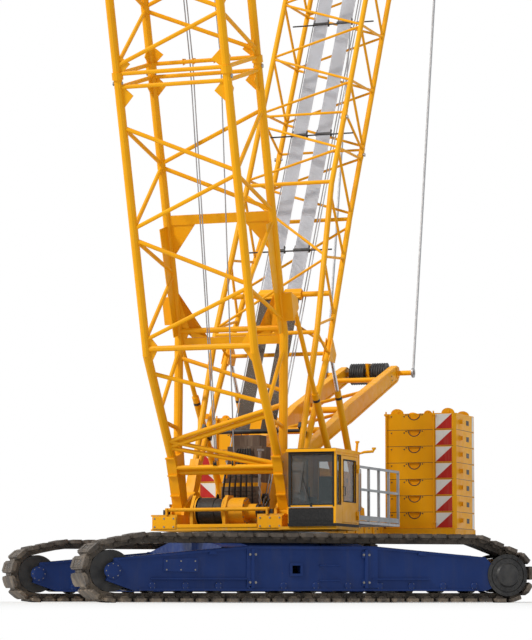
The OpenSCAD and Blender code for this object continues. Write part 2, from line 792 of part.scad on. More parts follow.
head_z0 = base_len + 2 * section_len + 3 * joint_gap;
head_taper = 2 * boom_bay;
head_d = 900;
head_pin_x = 1080;
head_pin_z = head_z0 + head_taper + 250;
head_pin_d = 140;
sheave_r = 440;
cheek_t = 50;
function head_x(z) = boom_d / 2 + (head_d - boom_d) / 2 * (z - head_z0) / head_taper;
pendant_pin = [-300, head_z0 + head_taper + 30];
stay_pin_d = 120;
module boom_head() {
    w = boom_w;
    z1 = head_z0 + head_taper;
    e = brace_d * 0.58;
    color(yellow)
        boom_place()
            difference() {
                union() {
                    for (x = [-1, 1], y = [-1, 1]) {
                        tube([x * head_x(head_z0 - 30), y * w / 2, head_z0 - 30], [x * head_x(z1), y * w / 2, z1],
                             chord_d, chord_sides);
                        // Zigzags up the tapered faces
                        for (i = [0 : 3])
                            if (y > 0) {
                                a = head_z0 + 200 + i * 1000;
                                k = i % 2 == 0 ? 1 : -1;
                                tube([x * head_x(a + 60), -k * (w / 2 - e), a + 60],
                                     [x * head_x(a + 940), k * (w / 2 - e), a + 940], brace_d, brace_sides);
                                tube([k * (head_x(a + 60) - e), x * w / 2, a + 60],
                                     [-k * (head_x(a + 940) - e), x * w / 2, a + 940], brace_d, brace_sides);
                            }
                    }
                    // Head box and the cheek plates that carry the sheaves
                    block([-head_d / 2 - 60, -w / 2 - 90, z1 - 60], [head_d / 2 + 60, w / 2 + 90, z1 + 120]);
                    for (y = [-1, 1])
                        side_plate([
                            [-560, z1 + 60], [400, z1 - 40], [head_pin_x + 60, head_pin_z - 190],
                            [head_pin_x + 190, head_pin_z - 60], [head_pin_x + 190, head_pin_z + 60],
                            [head_pin_x + 60, head_pin_z + 190], [-200, z1 + 700], [-560, z1 + 560]
                        ], y > 0 ? 480 : -480 - cheek_t, cheek_t);
                    cross_bar(head_pin_x, head_pin_z, head_pin_d, -480 - cheek_t, 480 + cheek_t);
                    // Stub pins for the pendants
                    for (s = [-1, 1]) mirror([0, s < 0 ? 1 : 0, 0])
                        cross_bar(pendant_pin[0], pendant_pin[1], stay_pin_d, w / 2 + 80, bar_y + 20);
                }
                // Level lower end, which seats on the last section
                block([-boom_d, -w, head_z0 - 200], [boom_d, w, head_z0]);
                // Bores for a jib's foot pins
                for (y = [-1, 1])
                    cross_bar(-380, z1 + 400, 120, y * 505 - 100, y * 505 + 100);
            }
}
module boom_sheaves() {
    color(black)
        boom_place()
            difference() {
                for (i = [-2 : 2])
                    cross_bar(head_pin_x, head_pin_z, 2 * sheave_r, i * 170 - 55, i * 170 + 55);
                cross_bar(head_pin_x, head_pin_z, head_pin_d + 2 * pin_clear, -500, 500);
            }
}

// Mast, drawn upright in its own frame: +X is its front, Z runs along it
module mast_place() {
    translate([mast_foot_x, 0, mast_foot_z]) rotate([0, -mast_lean, 0]) children();
}
mast_taper = 7600;
mast_base_len = mast_taper + 2000;
mast_section_len = mast_bays * mast_bay;
mast_leg_w = 200;
// Knee where the mast's legs start, and a foot chord's distances from the middle at height z
knee = 3950;
knee_x = 420;
function mast_x(z) = knee_x + (mast_d / 2 - knee_x) * (z - knee) / (mast_taper + 30 - knee);
function mast_y(z) = leg_y + (mast_w / 2 - leg_y) * (z - knee) / (mast_taper + 30 - knee);
module mast_base() {
    w = mast_w;
    d = mast_d;
    e = mast_brace_d * 0.58;
    color(yellow)
        mast_place()
            difference() {
                union() {
                    chords(w, d, mast_taper, mast_base_len, mast_chord_d);
                    for (y = [-1, 1]) {
                        for (x = [-1, 1]) {
                            tube([x * d / 2, y * w / 2, mast_taper + 30], [x * knee_x, y * leg_y, knee],
                                 mast_chord_d + 6, chord_sides);
                            tube([x * knee_x, y * leg_y, knee + 30], [x * 90, y * leg_y, 700],
                                 mast_chord_d + 14, chord_sides);
                        }
                        cross_bar(0, 0, 300, y * leg_y - mast_leg_w / 2, y * leg_y + mast_leg_w / 2);
                        side_plate([[-110, 0], [110, 0], [170, 900], [-170, 900]],
                                   y * leg_y - mast_leg_w / 2, mast_leg_w);
                        // Zigzag on the side face of the foot
                        for (i = [0 : 3]) {
                            a = knee + 150 + i * 850;
                            k = i % 2 == 0 ? 1 : -1;
                            tube([k * (mast_x(a) - e), y * mast_y(a), a],
                                 [-k * (mast_x(a + 740) - e), y * mast_y(a + 740), a + 740], mast_brace_d, brace_sides);
                        }
                        tube([-knee_x + e, y * leg_y, knee - 60], [knee_x - e, y * leg_y, knee - 60], mast_brace_d, brace_sides);
                    }
                    for (x = [-1, 1]) {
                        tube([x * knee_x, -leg_y + e, knee - 60], [x * knee_x, leg_y - e, knee - 60], 90, brace_sides);
                        tube([x * d / 2, -w / 2 + e, mast_taper + 120], [x * d / 2, w / 2 - e, mast_taper + 120],
                             90, brace_sides);
                        for (i = [0 : 1]) {
                            a = knee + 150 + i * 1750;
                            k = x * (i % 2 == 0 ? 1 : -1);
                            tube([x * mast_x(a), -k * (mast_y(a) - e), a],
                                 [x * mast_x(a + 1600), k * (mast_y(a + 1600) - e), a + 1600],
                                 mast_brace_d, brace_sides);
                        }
                    }
                    zigzags(w, d, mast_taper + 250, mast_base_len - mast_taper - 400, 1, mast_brace_d);
                    for (s = [-1, 1]) mirror([0, s < 0 ? 1 : 0, 0])
                        stop_cheeks(-knee_x, knee, mast_stop_y);
                }
                for (y = [-1, 1])
                    cross_bar(0, 0, mast_pin_d + 2 * pin_clear, y * leg_y - leg_w, y * leg_y + leg_w);
            }
}
module mast_section(index) {
    z0 = mast_base_len + joint_gap + index * (mast_section_len + joint_gap);
    gap = 160;
    color(yellow)
        mast_place() {
            chords(mast_w, mast_d, z0, z0 + mast_section_len, mast_chord_d);
            zigzags(mast_w, mast_d, z0 + gap, (mast_section_len - 2 * gap) / mast_bays, mast_bays, mast_brace_d);
            frame_ring(mast_w, mast_d, z0 + gap / 2, mast_brace_d);
        }
}
mast_head_z0 = mast_base_len + 2 * mast_section_len + 3 * joint_gap;
mast_pin_z = mast_head_z0 + 1500;
head_plate_out = mast_w / 2 - 20;
head_plate_in = 200;
crown_x = 280;
crown_z = 740;
crown_slope = (mast_d / 2 - crown_x) / crown_z;
module mast_head() {
    w = mast_w;
    d = mast_d;
    color(yellow)
        mast_place() {
            difference() {
                for (x = [-1, 1], y = [-1, 1])
                    tube([x * (d / 2 + crown_slope * 60), y * w / 2, mast_head_z0 - 60],
                         [x * crown_x, y * w / 2, mast_head_z0 + crown_z], mast_chord_d, chord_sides);
                block([-d, -w, mast_head_z0 - 200], [d, w, mast_head_z0]);
            }
            block([-330, -w / 2 - 60, mast_head_z0 + 700], [330, w / 2 + 60, mast_head_z0 + 780]);
            for (y = [-1, 1], k = [0, 1])
                side_plate([
                    [-330, mast_head_z0 + 740], [330, mast_head_z0 + 740],
                    [130, mast_pin_z + 150], [-130, mast_pin_z + 150]
                ], y * (k == 0 ? head_plate_out : head_plate_in) - 20, 40);
            cross_bar(0, mast_pin_z, stay_pin_d, -pendant_y - bar_t / 2 - 20, pendant_y + bar_t / 2 + 20);
        }
}

// Rope falls along the mast, from its foot to its head
module mast_falls() {
    color(rope_grey)
        mast_place()
            for (y = [-1, 1])
                block([-30, y * 290 - 165, knee + 1350], [30, y * 290 + 165, mast_head_z0 + 700 - seat]);
}

// Links from the mast's head down to the A-frame's head
mast_head_at = [mast_foot_x - mast_pin_z * sin(mast_lean), mast_foot_z + mast_pin_z * cos(mast_lean)];
frame_head_at = [-frame_pivot_x - frame_len * cos(frame_rise), frame_pivot_z + frame_len * sin(frame_rise)];
pendant_y = mast_w / 2 + 95;
// A flat bar along Z with a round eye at each end, 40 thick, bored for the stay pins
bar_t = 40;
module eye_bar(n, w) {
    difference() {
        union() {
            block([-w / 2, -bar_t / 2 + 4, 0], [w / 2, bar_t / 2 - 4, n]);
            for (z = [0, n])
                cross_bar(0, z, 240, -bar_t / 2, bar_t / 2);
        }
        for (z = [0, n])
            cross_bar(0, z, stay_pin_d + 2 * pin_clear, -bar_t, bar_t);
    }
}
module mast_pendants() {
    v = frame_head_at - mast_head_at;
    color(steel)
        for (y = [-1, 1])
            translate([mast_head_at[0], y * pendant_y, mast_head_at[1]])
                rotate([0, 90 - atan2(v[1], v[0]), 0]) eye_bar(norm(v), 100);
}

// Boom suspension: bars hang on the boom's head, ropes and their block on the mast's head
boom_head_at = [
    boom_foot_x + pendant_pin[1] * sin(boom_lean) + pendant_pin[0] * cos(boom_lean),
    boom_foot_z + pendant_pin[1] * cos(boom_lean) - pendant_pin[0] * sin(boom_lean)
];
stay_vector = mast_head_at - boom_head_at;
stay_total = norm(stay_vector);
stay_angle = atan2(stay_vector[1], stay_vector[0]);
bar_y = boom_w / 2 + 150;
falls_len = 8000;
module boom_pendants() {
    color(steel)
        for (y = [-1, 1])
            translate([boom_head_at[0], y * bar_y, boom_head_at[1]])
                rotate([0, 90 - stay_angle, 0]) eye_bar(stay_total - falls_len, 120);
}
stay_sheave_r = 300;
stay_sheave_w = 540;
stay_sheave_y = 565;
block_at = falls_len - 450;
module stay_place() {
    translate([mast_head_at[0], 0, mast_head_at[1]]) rotate([0, -90 - stay_angle, 0]) children();
}
// Sheaves at both ends of the falls, on the mast's head pin and in the block
module stay_sheaves() {
    color(black)
        stay_place()
            difference() {
                for (y = [-1, 1], z = [0, block_at])
                    cross_bar(0, z, 2 * stay_sheave_r, y * stay_sheave_y - stay_sheave_w / 2,
                              y * stay_sheave_y + stay_sheave_w / 2);
                cross_bar(0, 0, stay_pin_d + 2 * pin_clear, -900, 900);
                cross_bar(0, block_at, 110 + 2 * pin_clear, -900, 900);
            }
}
module stay_block() {
    half = bar_y - bar_t / 2 - seat;
    color(yellow)
        stay_place() {
            // Yoke that lies between the pendants' eyes
            cross_bar(0, falls_len, 260, -half, half);
            for (y = [-1, 1], k = [0, 1])
                side_plate([
                    [-120, falls_len + 20], [120, falls_len + 20],
                    [120, falls_len - 620], [-120, falls_len - 620]
                ], y * (k == 0 ? 890 : 240) - 20, 40);
            cross_bar(0, block_at, 110, -900, 900);
        }
}
module stay_falls() {
    color(rope_grey)
        stay_place()
            for (y = [-1, 1], x = [-1, 1])
                translate([x * (stay_sheave_r + seat + 20), y * stay_sheave_y, 0])
                    block([-20, -stay_sheave_w / 2, 0], [20, stay_sheave_w / 2, block_at]);
}

// Backstops: a tube on the deck and a rod up to the lattice
boom_stop_foot = [-1750, deck_top + 240];
mast_stop_foot = [-3550, deck_top + 240];
boom_stop_s = 4150;
boom_stop_y = leg_y + 190;
mast_stop_y = leg_y;
stop_back = 230;
boom_stop_eye = [
    boom_foot_x + boom_stop_s * sin(boom_lean) - (boom_d / 2 + stop_back) * cos(boom_lean),
    boom_foot_z + boom_stop_s * cos(boom_lean) + (boom_d / 2 + stop_back) * sin(boom_lean)
];
mast_stop_eye = [
    mast_foot_x - knee * sin(mast_lean) - (knee_x + stop_back) * cos(mast_lean),
    mast_foot_z + knee * cos(mast_lean) - (knee_x + stop_back) * sin(mast_lean)
];
rod_from = 900;
stop_tube_d = 150;
stop_tube_len = 3000;
// A tube (rod = false) or its rod, from foot to eye, with its share of the length
module backstop(foot, eye, y, tube_d, rod_d, tube_len, rod) {
    v = eye - foot;
    n = norm(v);
    for (s = [-1, 1])
        translate([foot[0], s * y, foot[1]]) rotate([0, 90 - atan2(v[1], v[0]), 0])
            if (rod) {
                difference() {
                    union() {
                        translate([0, 0, rod_from]) cylinder(d = rod_d, h = n - rod_from, $fn = 32);
                        cross_bar(0, n, 180, -stop_eye_w / 2, stop_eye_w / 2);
                    }
                    cross_bar(0, n, stop_pin_d, -stop_eye_w, stop_eye_w);
                }
            } else {
                difference() {
                    union() {
                        translate([0, 0, 160]) cylinder(d = tube_d, h = tube_len - 160, $fn = 48);
                        translate([0, 0, 60]) cylinder(d = 100, h = 120, $fn = 48);
                        cross_bar(0, 0, 180, -stop_eye_w / 2, stop_eye_w / 2);
                    }
                    translate([0, 0, rod_from - 500])
                        cylinder(d = rod_d + 2 * pin_clear, h = tube_len, $fn = 32);
                    cross_bar(0, 0, stop_pin_d + 2 * pin_clear, -stop_eye_w, stop_eye_w);
                }
            }
}
module boom_backstop_tubes() {
    color(yellow) backstop(boom_stop_foot, boom_stop_eye, boom_stop_y, stop_tube_d, 100, stop_tube_len, false);
}
module boom_backstop_rods() {
    color(yellow) backstop(boom_stop_foot, boom_stop_eye, boom_stop_y, stop_tube_d, 100, stop_tube_len, true);
}
module mast_backstop_tubes() {
    color(yellow) backstop(mast_stop_foot, mast_stop_eye, mast_stop_y, stop_tube_d, 80, stop_tube_len, false);
}
module mast_backstop_rods() {
    color(black) backstop(mast_stop_foot, mast_stop_eye, mast_stop_y, stop_tube_d, 80, stop_tube_len, true);
}

// A-frame, drawn level in its own frame: its pivot at the origin, its head on +Z
module frame_place() {
    translate([-frame_pivot_x, 0, frame_pivot_z]) rotate([0, -90 + frame_rise, 0]) children();
}
arm_step = [3400, 4200];
arm_deep = 250;
frame_bar_d = 150;
frame_bars = [2900, 4700];
module a_frame() {
    h = frame_len;
    color(yellow)
        frame_place()
            difference() {
                union() {
                    for (s = [-1, 1]) mirror([0, s < 0 ? 1 : 0, 0]) {
                        side_plate([
                            [-130, 0], [130, 0], [170, arm_step[0]], [arm_deep, arm_step[1]], [190, h],
                            [100, h + 170], [-100, h + 170], [-190, h], [-190, arm_step[1]], [-150, arm_step[0]]
                        ], frame_w / 2 - arm_t / 2, arm_t);
                        cross_bar(0, 0, 270, frame_w / 2 - arm_t / 2, frame_w / 2 + arm_t / 2);
                        cross_bar(0, h, stay_pin_d, frame_w / 2, pendant_y - bar_t / 2 - seat);
                    }
                    for (z = frame_bars)
                        cross_bar(0, z, frame_bar_d, -frame_w / 2, frame_w / 2);
                    cross_bar(0, h, stay_pin_d, -frame_w / 2, frame_w / 2);
                }
                for (s = [-1, 1]) mirror([0, s < 0 ? 1 : 0, 0])
                    cross_bar(0, 0, frame_pin_d + 2 * pin_clear, 0, frame_w);
            }
}
module a_frame_sheaves() {
    color(black)
        frame_place()
            difference() {
                for (s = [-1, 1])
                    cross_bar(0, frame_len, 520, s * 270 - 180, s * 270 + 180);
                cross_bar(0, frame_len, stay_pin_d + 2 * pin_clear, -600, 600);
            }
}

// Hook block on its falls, straight under the boom's head sheaves
head_pin_at = [
    boom_foot_x + head_pin_z * sin(boom_lean) + head_pin_x * cos(boom_lean),
    boom_foot_z + head_pin_z * cos(boom_lean) - head_pin_x * sin(boom_lean)
];
block_sheave_r = sheave_r;
block_z = head_pin_at[1] - hook_drop;
module hook_falls() {
    color(rope_grey)
        translate([head_pin_at[0], 0, 0])
            for (i = [-2 : 2], x = [-1, 1])
                translate([x * (block_sheave_r + seat + fall_d / 2), i * 170, block_z])
                    cylinder(d = fall_d, h = hook_drop, $fn = brace_sides);
}
module hook_block() {
    color(yellow)
        translate([head_pin_at[0], 0, block_z]) {
            for (i = [-2 : 2])
                cross_bar(0, 0, 2 * block_sheave_r, i * 170 - 55, i * 170 + 55);
            cross_bar(0, 0, 120, -520, 520);
            for (y = [-1, 1])
                side_plate([
                    [-330, 120], [-330, -300], [-200, -560], [200, -560], [330, -300], [330, 120],
                    [160, 330], [-160, 330]
                ], y > 0 ? 440 : -500, 60);
            translate([0, 0, -560]) difference() {
                block([-190, -460, -160], [190, 460, 60]);
                translate([0, 0, -200]) cylinder(d = 180 + 2 * pin_clear, h = 300, $fn = 48);
            }
        }
}
module hook() {
    color(black)
        translate([head_pin_at[0], 0, block_z - 620]) {
            translate([0, 0, -260]) cylinder(d = 180, h = 300, $fn = 48);
            translate([0, 0, -560]) rotate([90, 0, 0])
                for (s = [0, 1]) mirror([s, 0, 0])
                    translate([170, 0, 0]) rotate_extrude(angle = 230, start = 130, $fn = 64)
                        translate([170, 0]) circle(d = 150, $fn = 32);
            translate([-90, -75, -620]) cube([180, 150, 380]);
        }
}

car_body();
side_frame(1);  // side_frame_left
side_frame(-1);  // side_frame_right
track(1);  // track_left
track(-1);  // track_right
drive_sprockets();
idlers();
track_rollers();
slewing_ring();
deck();
foot_lugs();
frame_posts();
backstop_feet();
front_winch_frame();
front_winch_drum();
pump_housing();
engine_house();
counterweight_base();
slab_stack(1);  // counterweight_left
slab_stack(-1);  // counterweight_right
cab_floor();
cab_shell();
cab_roof();
cab_door();
cab_glass();
cab_seat();
walkway();
railings();
boom_foot(1);  // boom_foot_left
boom_foot(-1);  // boom_foot_right
boom_base();
boom_section(0);  // boom_section_1
boom_section(1);  // boom_section_2
boom_head();
boom_sheaves();
boom_pendants();
boom_backstop_tubes();
boom_backstop_rods();
mast_base();
mast_section(0);  // mast_section_1
mast_section(1);  // mast_section_2
mast_head();
mast_falls();
mast_pendants();
mast_backstop_tubes();
mast_backstop_rods();
stay_sheaves();
stay_block();
stay_falls();
a_frame();
a_frame_sheaves();
hook_falls();
hook_block();
hook();
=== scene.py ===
import json
import math

import bmesh
import bpy
from mathutils import Matrix, Vector


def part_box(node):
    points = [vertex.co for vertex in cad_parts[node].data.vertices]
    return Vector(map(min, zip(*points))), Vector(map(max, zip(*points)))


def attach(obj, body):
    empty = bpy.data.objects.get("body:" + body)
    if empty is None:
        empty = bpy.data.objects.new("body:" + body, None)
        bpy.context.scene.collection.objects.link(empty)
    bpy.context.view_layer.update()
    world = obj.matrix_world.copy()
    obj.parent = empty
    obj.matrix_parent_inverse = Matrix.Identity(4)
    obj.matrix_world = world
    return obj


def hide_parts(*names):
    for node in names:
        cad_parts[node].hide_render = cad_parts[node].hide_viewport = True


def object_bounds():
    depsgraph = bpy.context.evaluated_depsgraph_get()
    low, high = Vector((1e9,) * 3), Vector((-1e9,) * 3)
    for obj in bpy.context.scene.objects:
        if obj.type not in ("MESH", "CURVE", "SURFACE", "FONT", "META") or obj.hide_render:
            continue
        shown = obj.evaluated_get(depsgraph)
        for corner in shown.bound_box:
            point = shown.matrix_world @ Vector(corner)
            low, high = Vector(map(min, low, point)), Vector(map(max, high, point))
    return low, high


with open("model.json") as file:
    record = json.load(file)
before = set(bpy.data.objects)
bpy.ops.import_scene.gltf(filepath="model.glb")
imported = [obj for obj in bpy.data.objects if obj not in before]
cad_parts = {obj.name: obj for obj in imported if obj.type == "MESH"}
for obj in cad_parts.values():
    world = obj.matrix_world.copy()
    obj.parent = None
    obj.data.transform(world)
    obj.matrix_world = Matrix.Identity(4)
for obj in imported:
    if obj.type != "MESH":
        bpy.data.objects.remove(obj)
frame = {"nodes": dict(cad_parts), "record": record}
cad_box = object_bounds()
nodes = frame["nodes"]
rad = math.radians


# ---------------------------------------------------------------- materials
def new_material(name):
    mat = bpy.data.materials.new(name)
    mat.use_nodes = True
    tree = mat.node_tree
    tree.nodes.clear()
    out = tree.nodes.new("ShaderNodeOutputMaterial")
    shader = tree.nodes.new("ShaderNodeBsdfPrincipled")
    tree.links.new(shader.outputs[0], out.inputs[0])
    return mat, tree, shader


def noise(tree, scale, detail=4.0, rough=0.55, stretch=None):
    coords = object_coords(tree)
    if stretch:
        mp = tree.nodes.new("ShaderNodeMapping")
        mp.inputs["Scale"].default_value = stretch
        tree.links.new(coords, mp.inputs["Vector"])
        coords = mp.outputs[0]
    n = tree.nodes.new("ShaderNodeTexNoise")
    n.inputs["Scale"].default_value = scale
    n.inputs["Detail"].default_value = detail
    n.inputs["Roughness"].default_value = rough
    tree.links.new(coords, n.inputs["Vector"])
    return n.outputs[0]


def ramp(tree, value, stops):
    r = tree.nodes.new("ShaderNodeValToRGB")
    e = r.color_ramp.elements
    while len(e) < len(stops):
        e.new(0.5)
    for i, (p, c) in enumerate(stops):
        e[i].position = p
        e[i].color = (c[0], c[1], c[2], 1.0) if len(c) == 3 else (c[0],) * 3 + (1.0,)
    tree.links.new(value, r.inputs[0])
    return r.outputs[0]


def mask(tree, value, low, high, a=0.0, b=1.0):
    """Grey ramp from a at low to b at high."""
    return ramp(tree, value, [(low, (a,)), (high, (b,))])


def put(tree, sock, v):
    """Sets a number or a colour on a socket, or links an output to it."""
    if isinstance(v, (int, float)):
        sock.default_value = v
    elif isinstance(v, tuple):
        sock.default_value = (v[0], v[1], v[2], 1.0)
    else:
        tree.links.new(v, sock)


def mix(tree, fac, a, b):
    m = tree.nodes.new("ShaderNodeMix")
    m.data_type = "RGBA"
    for i, v in ((0, fac), (6, a), (7, b)):
        put(tree, m.inputs[i], v)
    return m.outputs[2]


def calc(tree, operation, a, b=None, clamp=False):
    """One Math node."""
    m = tree.nodes.new("ShaderNodeMath")
    m.operation = operation
    m.use_clamp = clamp
    put(tree, m.inputs[0], a)
    if b is not None:
        put(tree, m.inputs[1], b)
    return m.outputs[0]


def remap(tree, value, low, high, to_low=0.0, to_high=1.0):
    m = tree.nodes.new("ShaderNodeMapRange")
    for key, v in (("From Min", low), ("From Max", high), ("To Min", to_low), ("To Max", to_high)):
        m.inputs[key].default_value = v
    tree.links.new(value, m.inputs[0])
    return m.outputs[0]


def object_coords(tree):
    return tree.nodes.new("ShaderNodeTexCoord").outputs["Object"]


def bump(tree, shader, height, strength, distance):
    b = tree.nodes.new("ShaderNodeBump")
    b.inputs["Strength"].default_value = strength
    b.inputs["Distance"].default_value = distance
    tree.links.new(height, b.inputs["Height"])
    tree.links.new(b.outputs[0], shader.inputs["Normal"])


def height_mask(tree, low, high):
    """1 near the ground, falling to 0 at high metres."""
    s = tree.nodes.new("ShaderNodeSeparateXYZ")
    tree.links.new(tree.nodes.new("ShaderNodeNewGeometry").outputs["Position"], s.inputs[0])
    return remap(tree, s.outputs[2], low, high, 1.0, 0.0)


DUST, RUST, MUD, GREASE = (0.40, 0.33, 0.24), (0.16, 0.07, 0.03), (0.27, 0.21, 0.15), (0.10, 0.09, 0.08)


def painted(name, base, dark, dust=DUST, dirt=0.35, rough=0.42, scuff=0.66):
    """Weathered paint: shade variation, streaks, chips and road dust."""
    mat, tree, sh = new_material(name)
    wide = ramp(tree, noise(tree, 0.9, 5.0), [(0.30, dark), (0.68, base)])
    streak = mask(tree, noise(tree, 2.2, 6.0, 0.65, stretch=(3.0, 3.0, 0.35)), 0.50, 0.80)
    col = mix(tree, calc(tree, "MULTIPLY", streak, dirt), wide, dust)
    chips = mask(tree, noise(tree, 34.0, 8.0, 0.7), scuff, scuff + 0.025)
    patches = mask(tree, noise(tree, 1.7, 3.0), 0.52, 0.62)
    put(tree, sh.inputs["Base Color"], mix(tree, calc(tree, "MULTIPLY", chips, patches), col, RUST))
    put(tree, sh.inputs["Roughness"], mask(tree, noise(tree, 6.0, 4.0), 0.3, 0.75, rough - 0.08, rough + 0.2))
    bump(tree, sh, noise(tree, 60.0, 3.0), 0.12, 0.004)
    sh.inputs["Specular IOR Level"].default_value = 0.16
    return mat


def iron(name, base, light, metallic=0.35, rough=0.6, scale=5.0, dusty=True):
    """Bare or greased metal; dusty adds mud near the ground."""
    mat, tree, sh = new_material(name)
    col = ramp(tree, noise(tree, scale, 8.0, 0.65), [(0.35, base), (0.70, light)])
    if dusty:
        spots = mask(tree, noise(tree, 3.0, 6.0, 0.7), 0.45, 0.7)
        col = mix(tree, calc(tree, "MULTIPLY", height_mask(tree, 0.15, 1.5), spots), col, MUD)
    put(tree, sh.inputs["Base Color"], col)
    sh.inputs["Metallic"].default_value = metallic
    put(tree, sh.inputs["Roughness"], mask(tree, noise(tree, scale * 2, 4.0), 0.3, 0.7, rough - 0.12, rough + 0.2))
    bump(tree, sh, noise(tree, scale * 9, 6.0, 0.7), 0.3, 0.006)
    return mat


def rope_material(name, light, dark, grease_share=0.7):
    """Twisted strands, drawn along the tube's own UV lines."""
    mat, tree, sh = new_material(name)
    uv = tree.nodes.new("ShaderNodeUVMap")
    uv.uv_map = "run"
    s = tree.nodes.new("ShaderNodeSeparateXYZ")
    tree.links.new(uv.outputs[0], s.inputs[0])
    phase = calc(tree, "MULTIPLY", calc(tree, "ADD", s.outputs[0], s.outputs[1]), 2 * math.pi)
    half = remap(tree, calc(tree, "SINE", phase), -1.0, 1.0)
    grease = mask(tree, noise(tree, 1.3, 5.0), 0.45, 0.8, 0.0, grease_share)
    put(tree, sh.inputs["Base Color"], mix(tree, grease, ramp(tree, half, [(0.05, dark), (0.5, light)]), GREASE))
    sh.inputs["Metallic"].default_value = 0.45
    sh.inputs["Roughness"].default_value = 0.5
    bump(tree, sh, half, 0.6, 0.004)
    return mat


YELLOW = painted("paint_yellow", (0.90, 0.41, 0.003), (0.80, 0.34, 0.003), dust=(0.42, 0.27, 0.08), dirt=0.10)
YELLOW_OLD = painted("paint_yellow_worn", (0.84, 0.38, 0.006), (0.68, 0.29, 0.006),
                     dust=(0.38, 0.26, 0.11), dirt=0.25, scuff=0.62, rough=0.5)
BLUE = painted("paint_blue", (0.011, 0.034, 0.150), (0.008, 0.024, 0.108), dust=(0.06, 0.06, 0.07), dirt=0.22)
RAIL = painted("paint_rail_grey", (0.42, 0.43, 0.44), (0.28, 0.29, 0.30), dirt=0.3)
WHITE = painted("paint_white", (0.80, 0.80, 0.78), (0.66, 0.66, 0.63), dirt=0.3)
RED = painted("paint_red", (0.55, 0.025, 0.02), (0.38, 0.02, 0.015), dirt=0.25)
# Brown machinery paint, darkened as painted shade for the shadow under the mast's foot
BROWN_AND_SHADE = painted("paint_machine_brown_and_shade", (0.15, 0.11, 0.08), (0.09, 0.065, 0.05), dirt=0.6, rough=0.6)
TRACK = iron("track_iron", (0.034, 0.028, 0.024), (0.125, 0.102, 0.082), 0.3, 0.66, 4.0)
DARK = iron("greasy_iron", (0.018, 0.018, 0.02), (0.06, 0.058, 0.055), 0.4, 0.5, 7.0, False)
STEEL = iron("galvanised_steel", (0.26, 0.26, 0.27), (0.44, 0.44, 0.45), 0.6, 0.42, 9.0, False)
BOLT = iron("bolt_steel", (0.16, 0.15, 0.14), (0.33, 0.31, 0.29), 0.7, 0.45, 22.0, False)
BRIGHT = iron("bright_rod", (0.55, 0.55, 0.57), (0.70, 0.70, 0.72), 0.95, 0.22, 3.0, False)
ROPE = rope_material("wire_rope", (0.50, 0.51, 0.53), (0.20, 0.20, 0.21))
ROPE_DARK = rope_material("wire_rope_greased", (0.085, 0.080, 0.075), (0.020, 0.019, 0.018))
ROPE_PALE = rope_material("wire_rope_bright", (0.60, 0.62, 0.67), (0.34, 0.35, 0.38), 0.25)
# Brown rope for the lower mast falls: grease, and painted shade of the mast's shadow
ROPE_GREASE_AND_SHADE = rope_material("wire_rope_grease_and_shade", (0.135, 0.100, 0.070), (0.035, 0.026, 0.020), 0.5)


def rubber_material():
    mat, tree, sh = new_material("black_rubber")
    col = ramp(tree, noise(tree, 30.0), [(0.3, (0.012, 0.012, 0.013)), (0.8, (0.035, 0.034, 0.033))])
    put(tree, sh.inputs["Base Color"], col)
    sh.inputs["Roughness"].default_value = 0.7
    sh.inputs["Specular IOR Level"].default_value = 0.2
    bump(tree, sh, noise(tree, 180.0), 0.2, 0.002)
    return mat


def glass_material():
    mat, tree, sh = new_material("cab_glass")
    col = ramp(tree, noise(tree, 1.5), [(0.3, (0.022, 0.034, 0.036)), (0.8, (0.045, 0.062, 0.066))])
    put(tree, sh.inputs["Base Color"], col)
    sh.inputs["Roughness"].default_value = 0.06
    sh.inputs["Alpha"].default_value = 0.50
    sh.inputs["Specular IOR Level"].default_value = 0.7
    return mat


def fabric_material():
    mat, tree, sh = new_material("seat_fabric")
    outs = []
    for d in ("X", "Y"):
        w = tree.nodes.new("ShaderNodeTexWave")
        w.bands_direction = d
        w.inputs["Scale"].default_value = 160.0
        w.inputs["Distortion"].default_value = 0.6
        tree.links.new(object_coords(tree), w.inputs["Vector"])
        outs.append(w.outputs[1])
    weave = calc(tree, "MAXIMUM", *outs)
    put(tree, sh.inputs["Base Color"], ramp(tree, weave, [(0.3, (0.02, 0.022, 0.026)), (0.9, (0.07, 0.075, 0.085))]))
    sh.inputs["Roughness"].default_value = 0.9
    sh.inputs["Sheen Weight"].default_value = 0.3
    bump(tree, sh, weave, 0.4, 0.002)
    return mat


def deck_material():
    """Yellow paint with a raised diamond tread on it."""
    mat = painted("deck_tread", (0.80, 0.38, 0.012), (0.60, 0.27, 0.012), dirt=0.6, scuff=0.58, rough=0.55)
    tree = mat.node_tree
    sh = next(n for n in tree.nodes if n.type == "BSDF_PRINCIPLED")
    b = tree.nodes.new("ShaderNodeTexVoronoi")
    b.inputs["Scale"].default_value = 26.0
    b.inputs["Randomness"].default_value = 0.0
    tree.links.new(object_coords(tree), b.inputs["Vector"])
    for link in list(sh.inputs["Normal"].links):
        tree.links.remove(link)
    bump(tree, sh, mask(tree, b.outputs[0], 0.2, 0.4, 1.0, 0.0), 0.35, 0.004)
    return mat


RUBBER = rubber_material()
GLASS = glass_material()
FABRIC = fabric_material()
TREAD = deck_material()

node_finish = {
    "frame_blue": BLUE, "crane_yellow": YELLOW, "track_iron": TRACK, "grey_steel": STEEL, "dark_iron": DARK,
    "wire_rope": STEEL, "cab_glass": GLASS, "rail_grey": RAIL, "cab_dark": RUBBER,
}
for part in frame["record"]["subparts"]:
    obj = nodes[part["node"]]
    mat = node_finish[part["material_slot"]]
    if part["node"] == "deck":
        mat = TREAD
    if part["node"] in ("engine_house", "pump_housing", "front_winch_frame", "counterweight_base"):
        mat = YELLOW_OLD
    if part["node"] == "mast_backstop_rods":
        mat = BRIGHT
    for i in range(max(1, len(obj.material_slots))):
        if len(obj.material_slots) <= i:
            obj.data.materials.append(mat)
        obj.material_slots[i].link = "OBJECT"
        obj.material_slots[i].material = mat


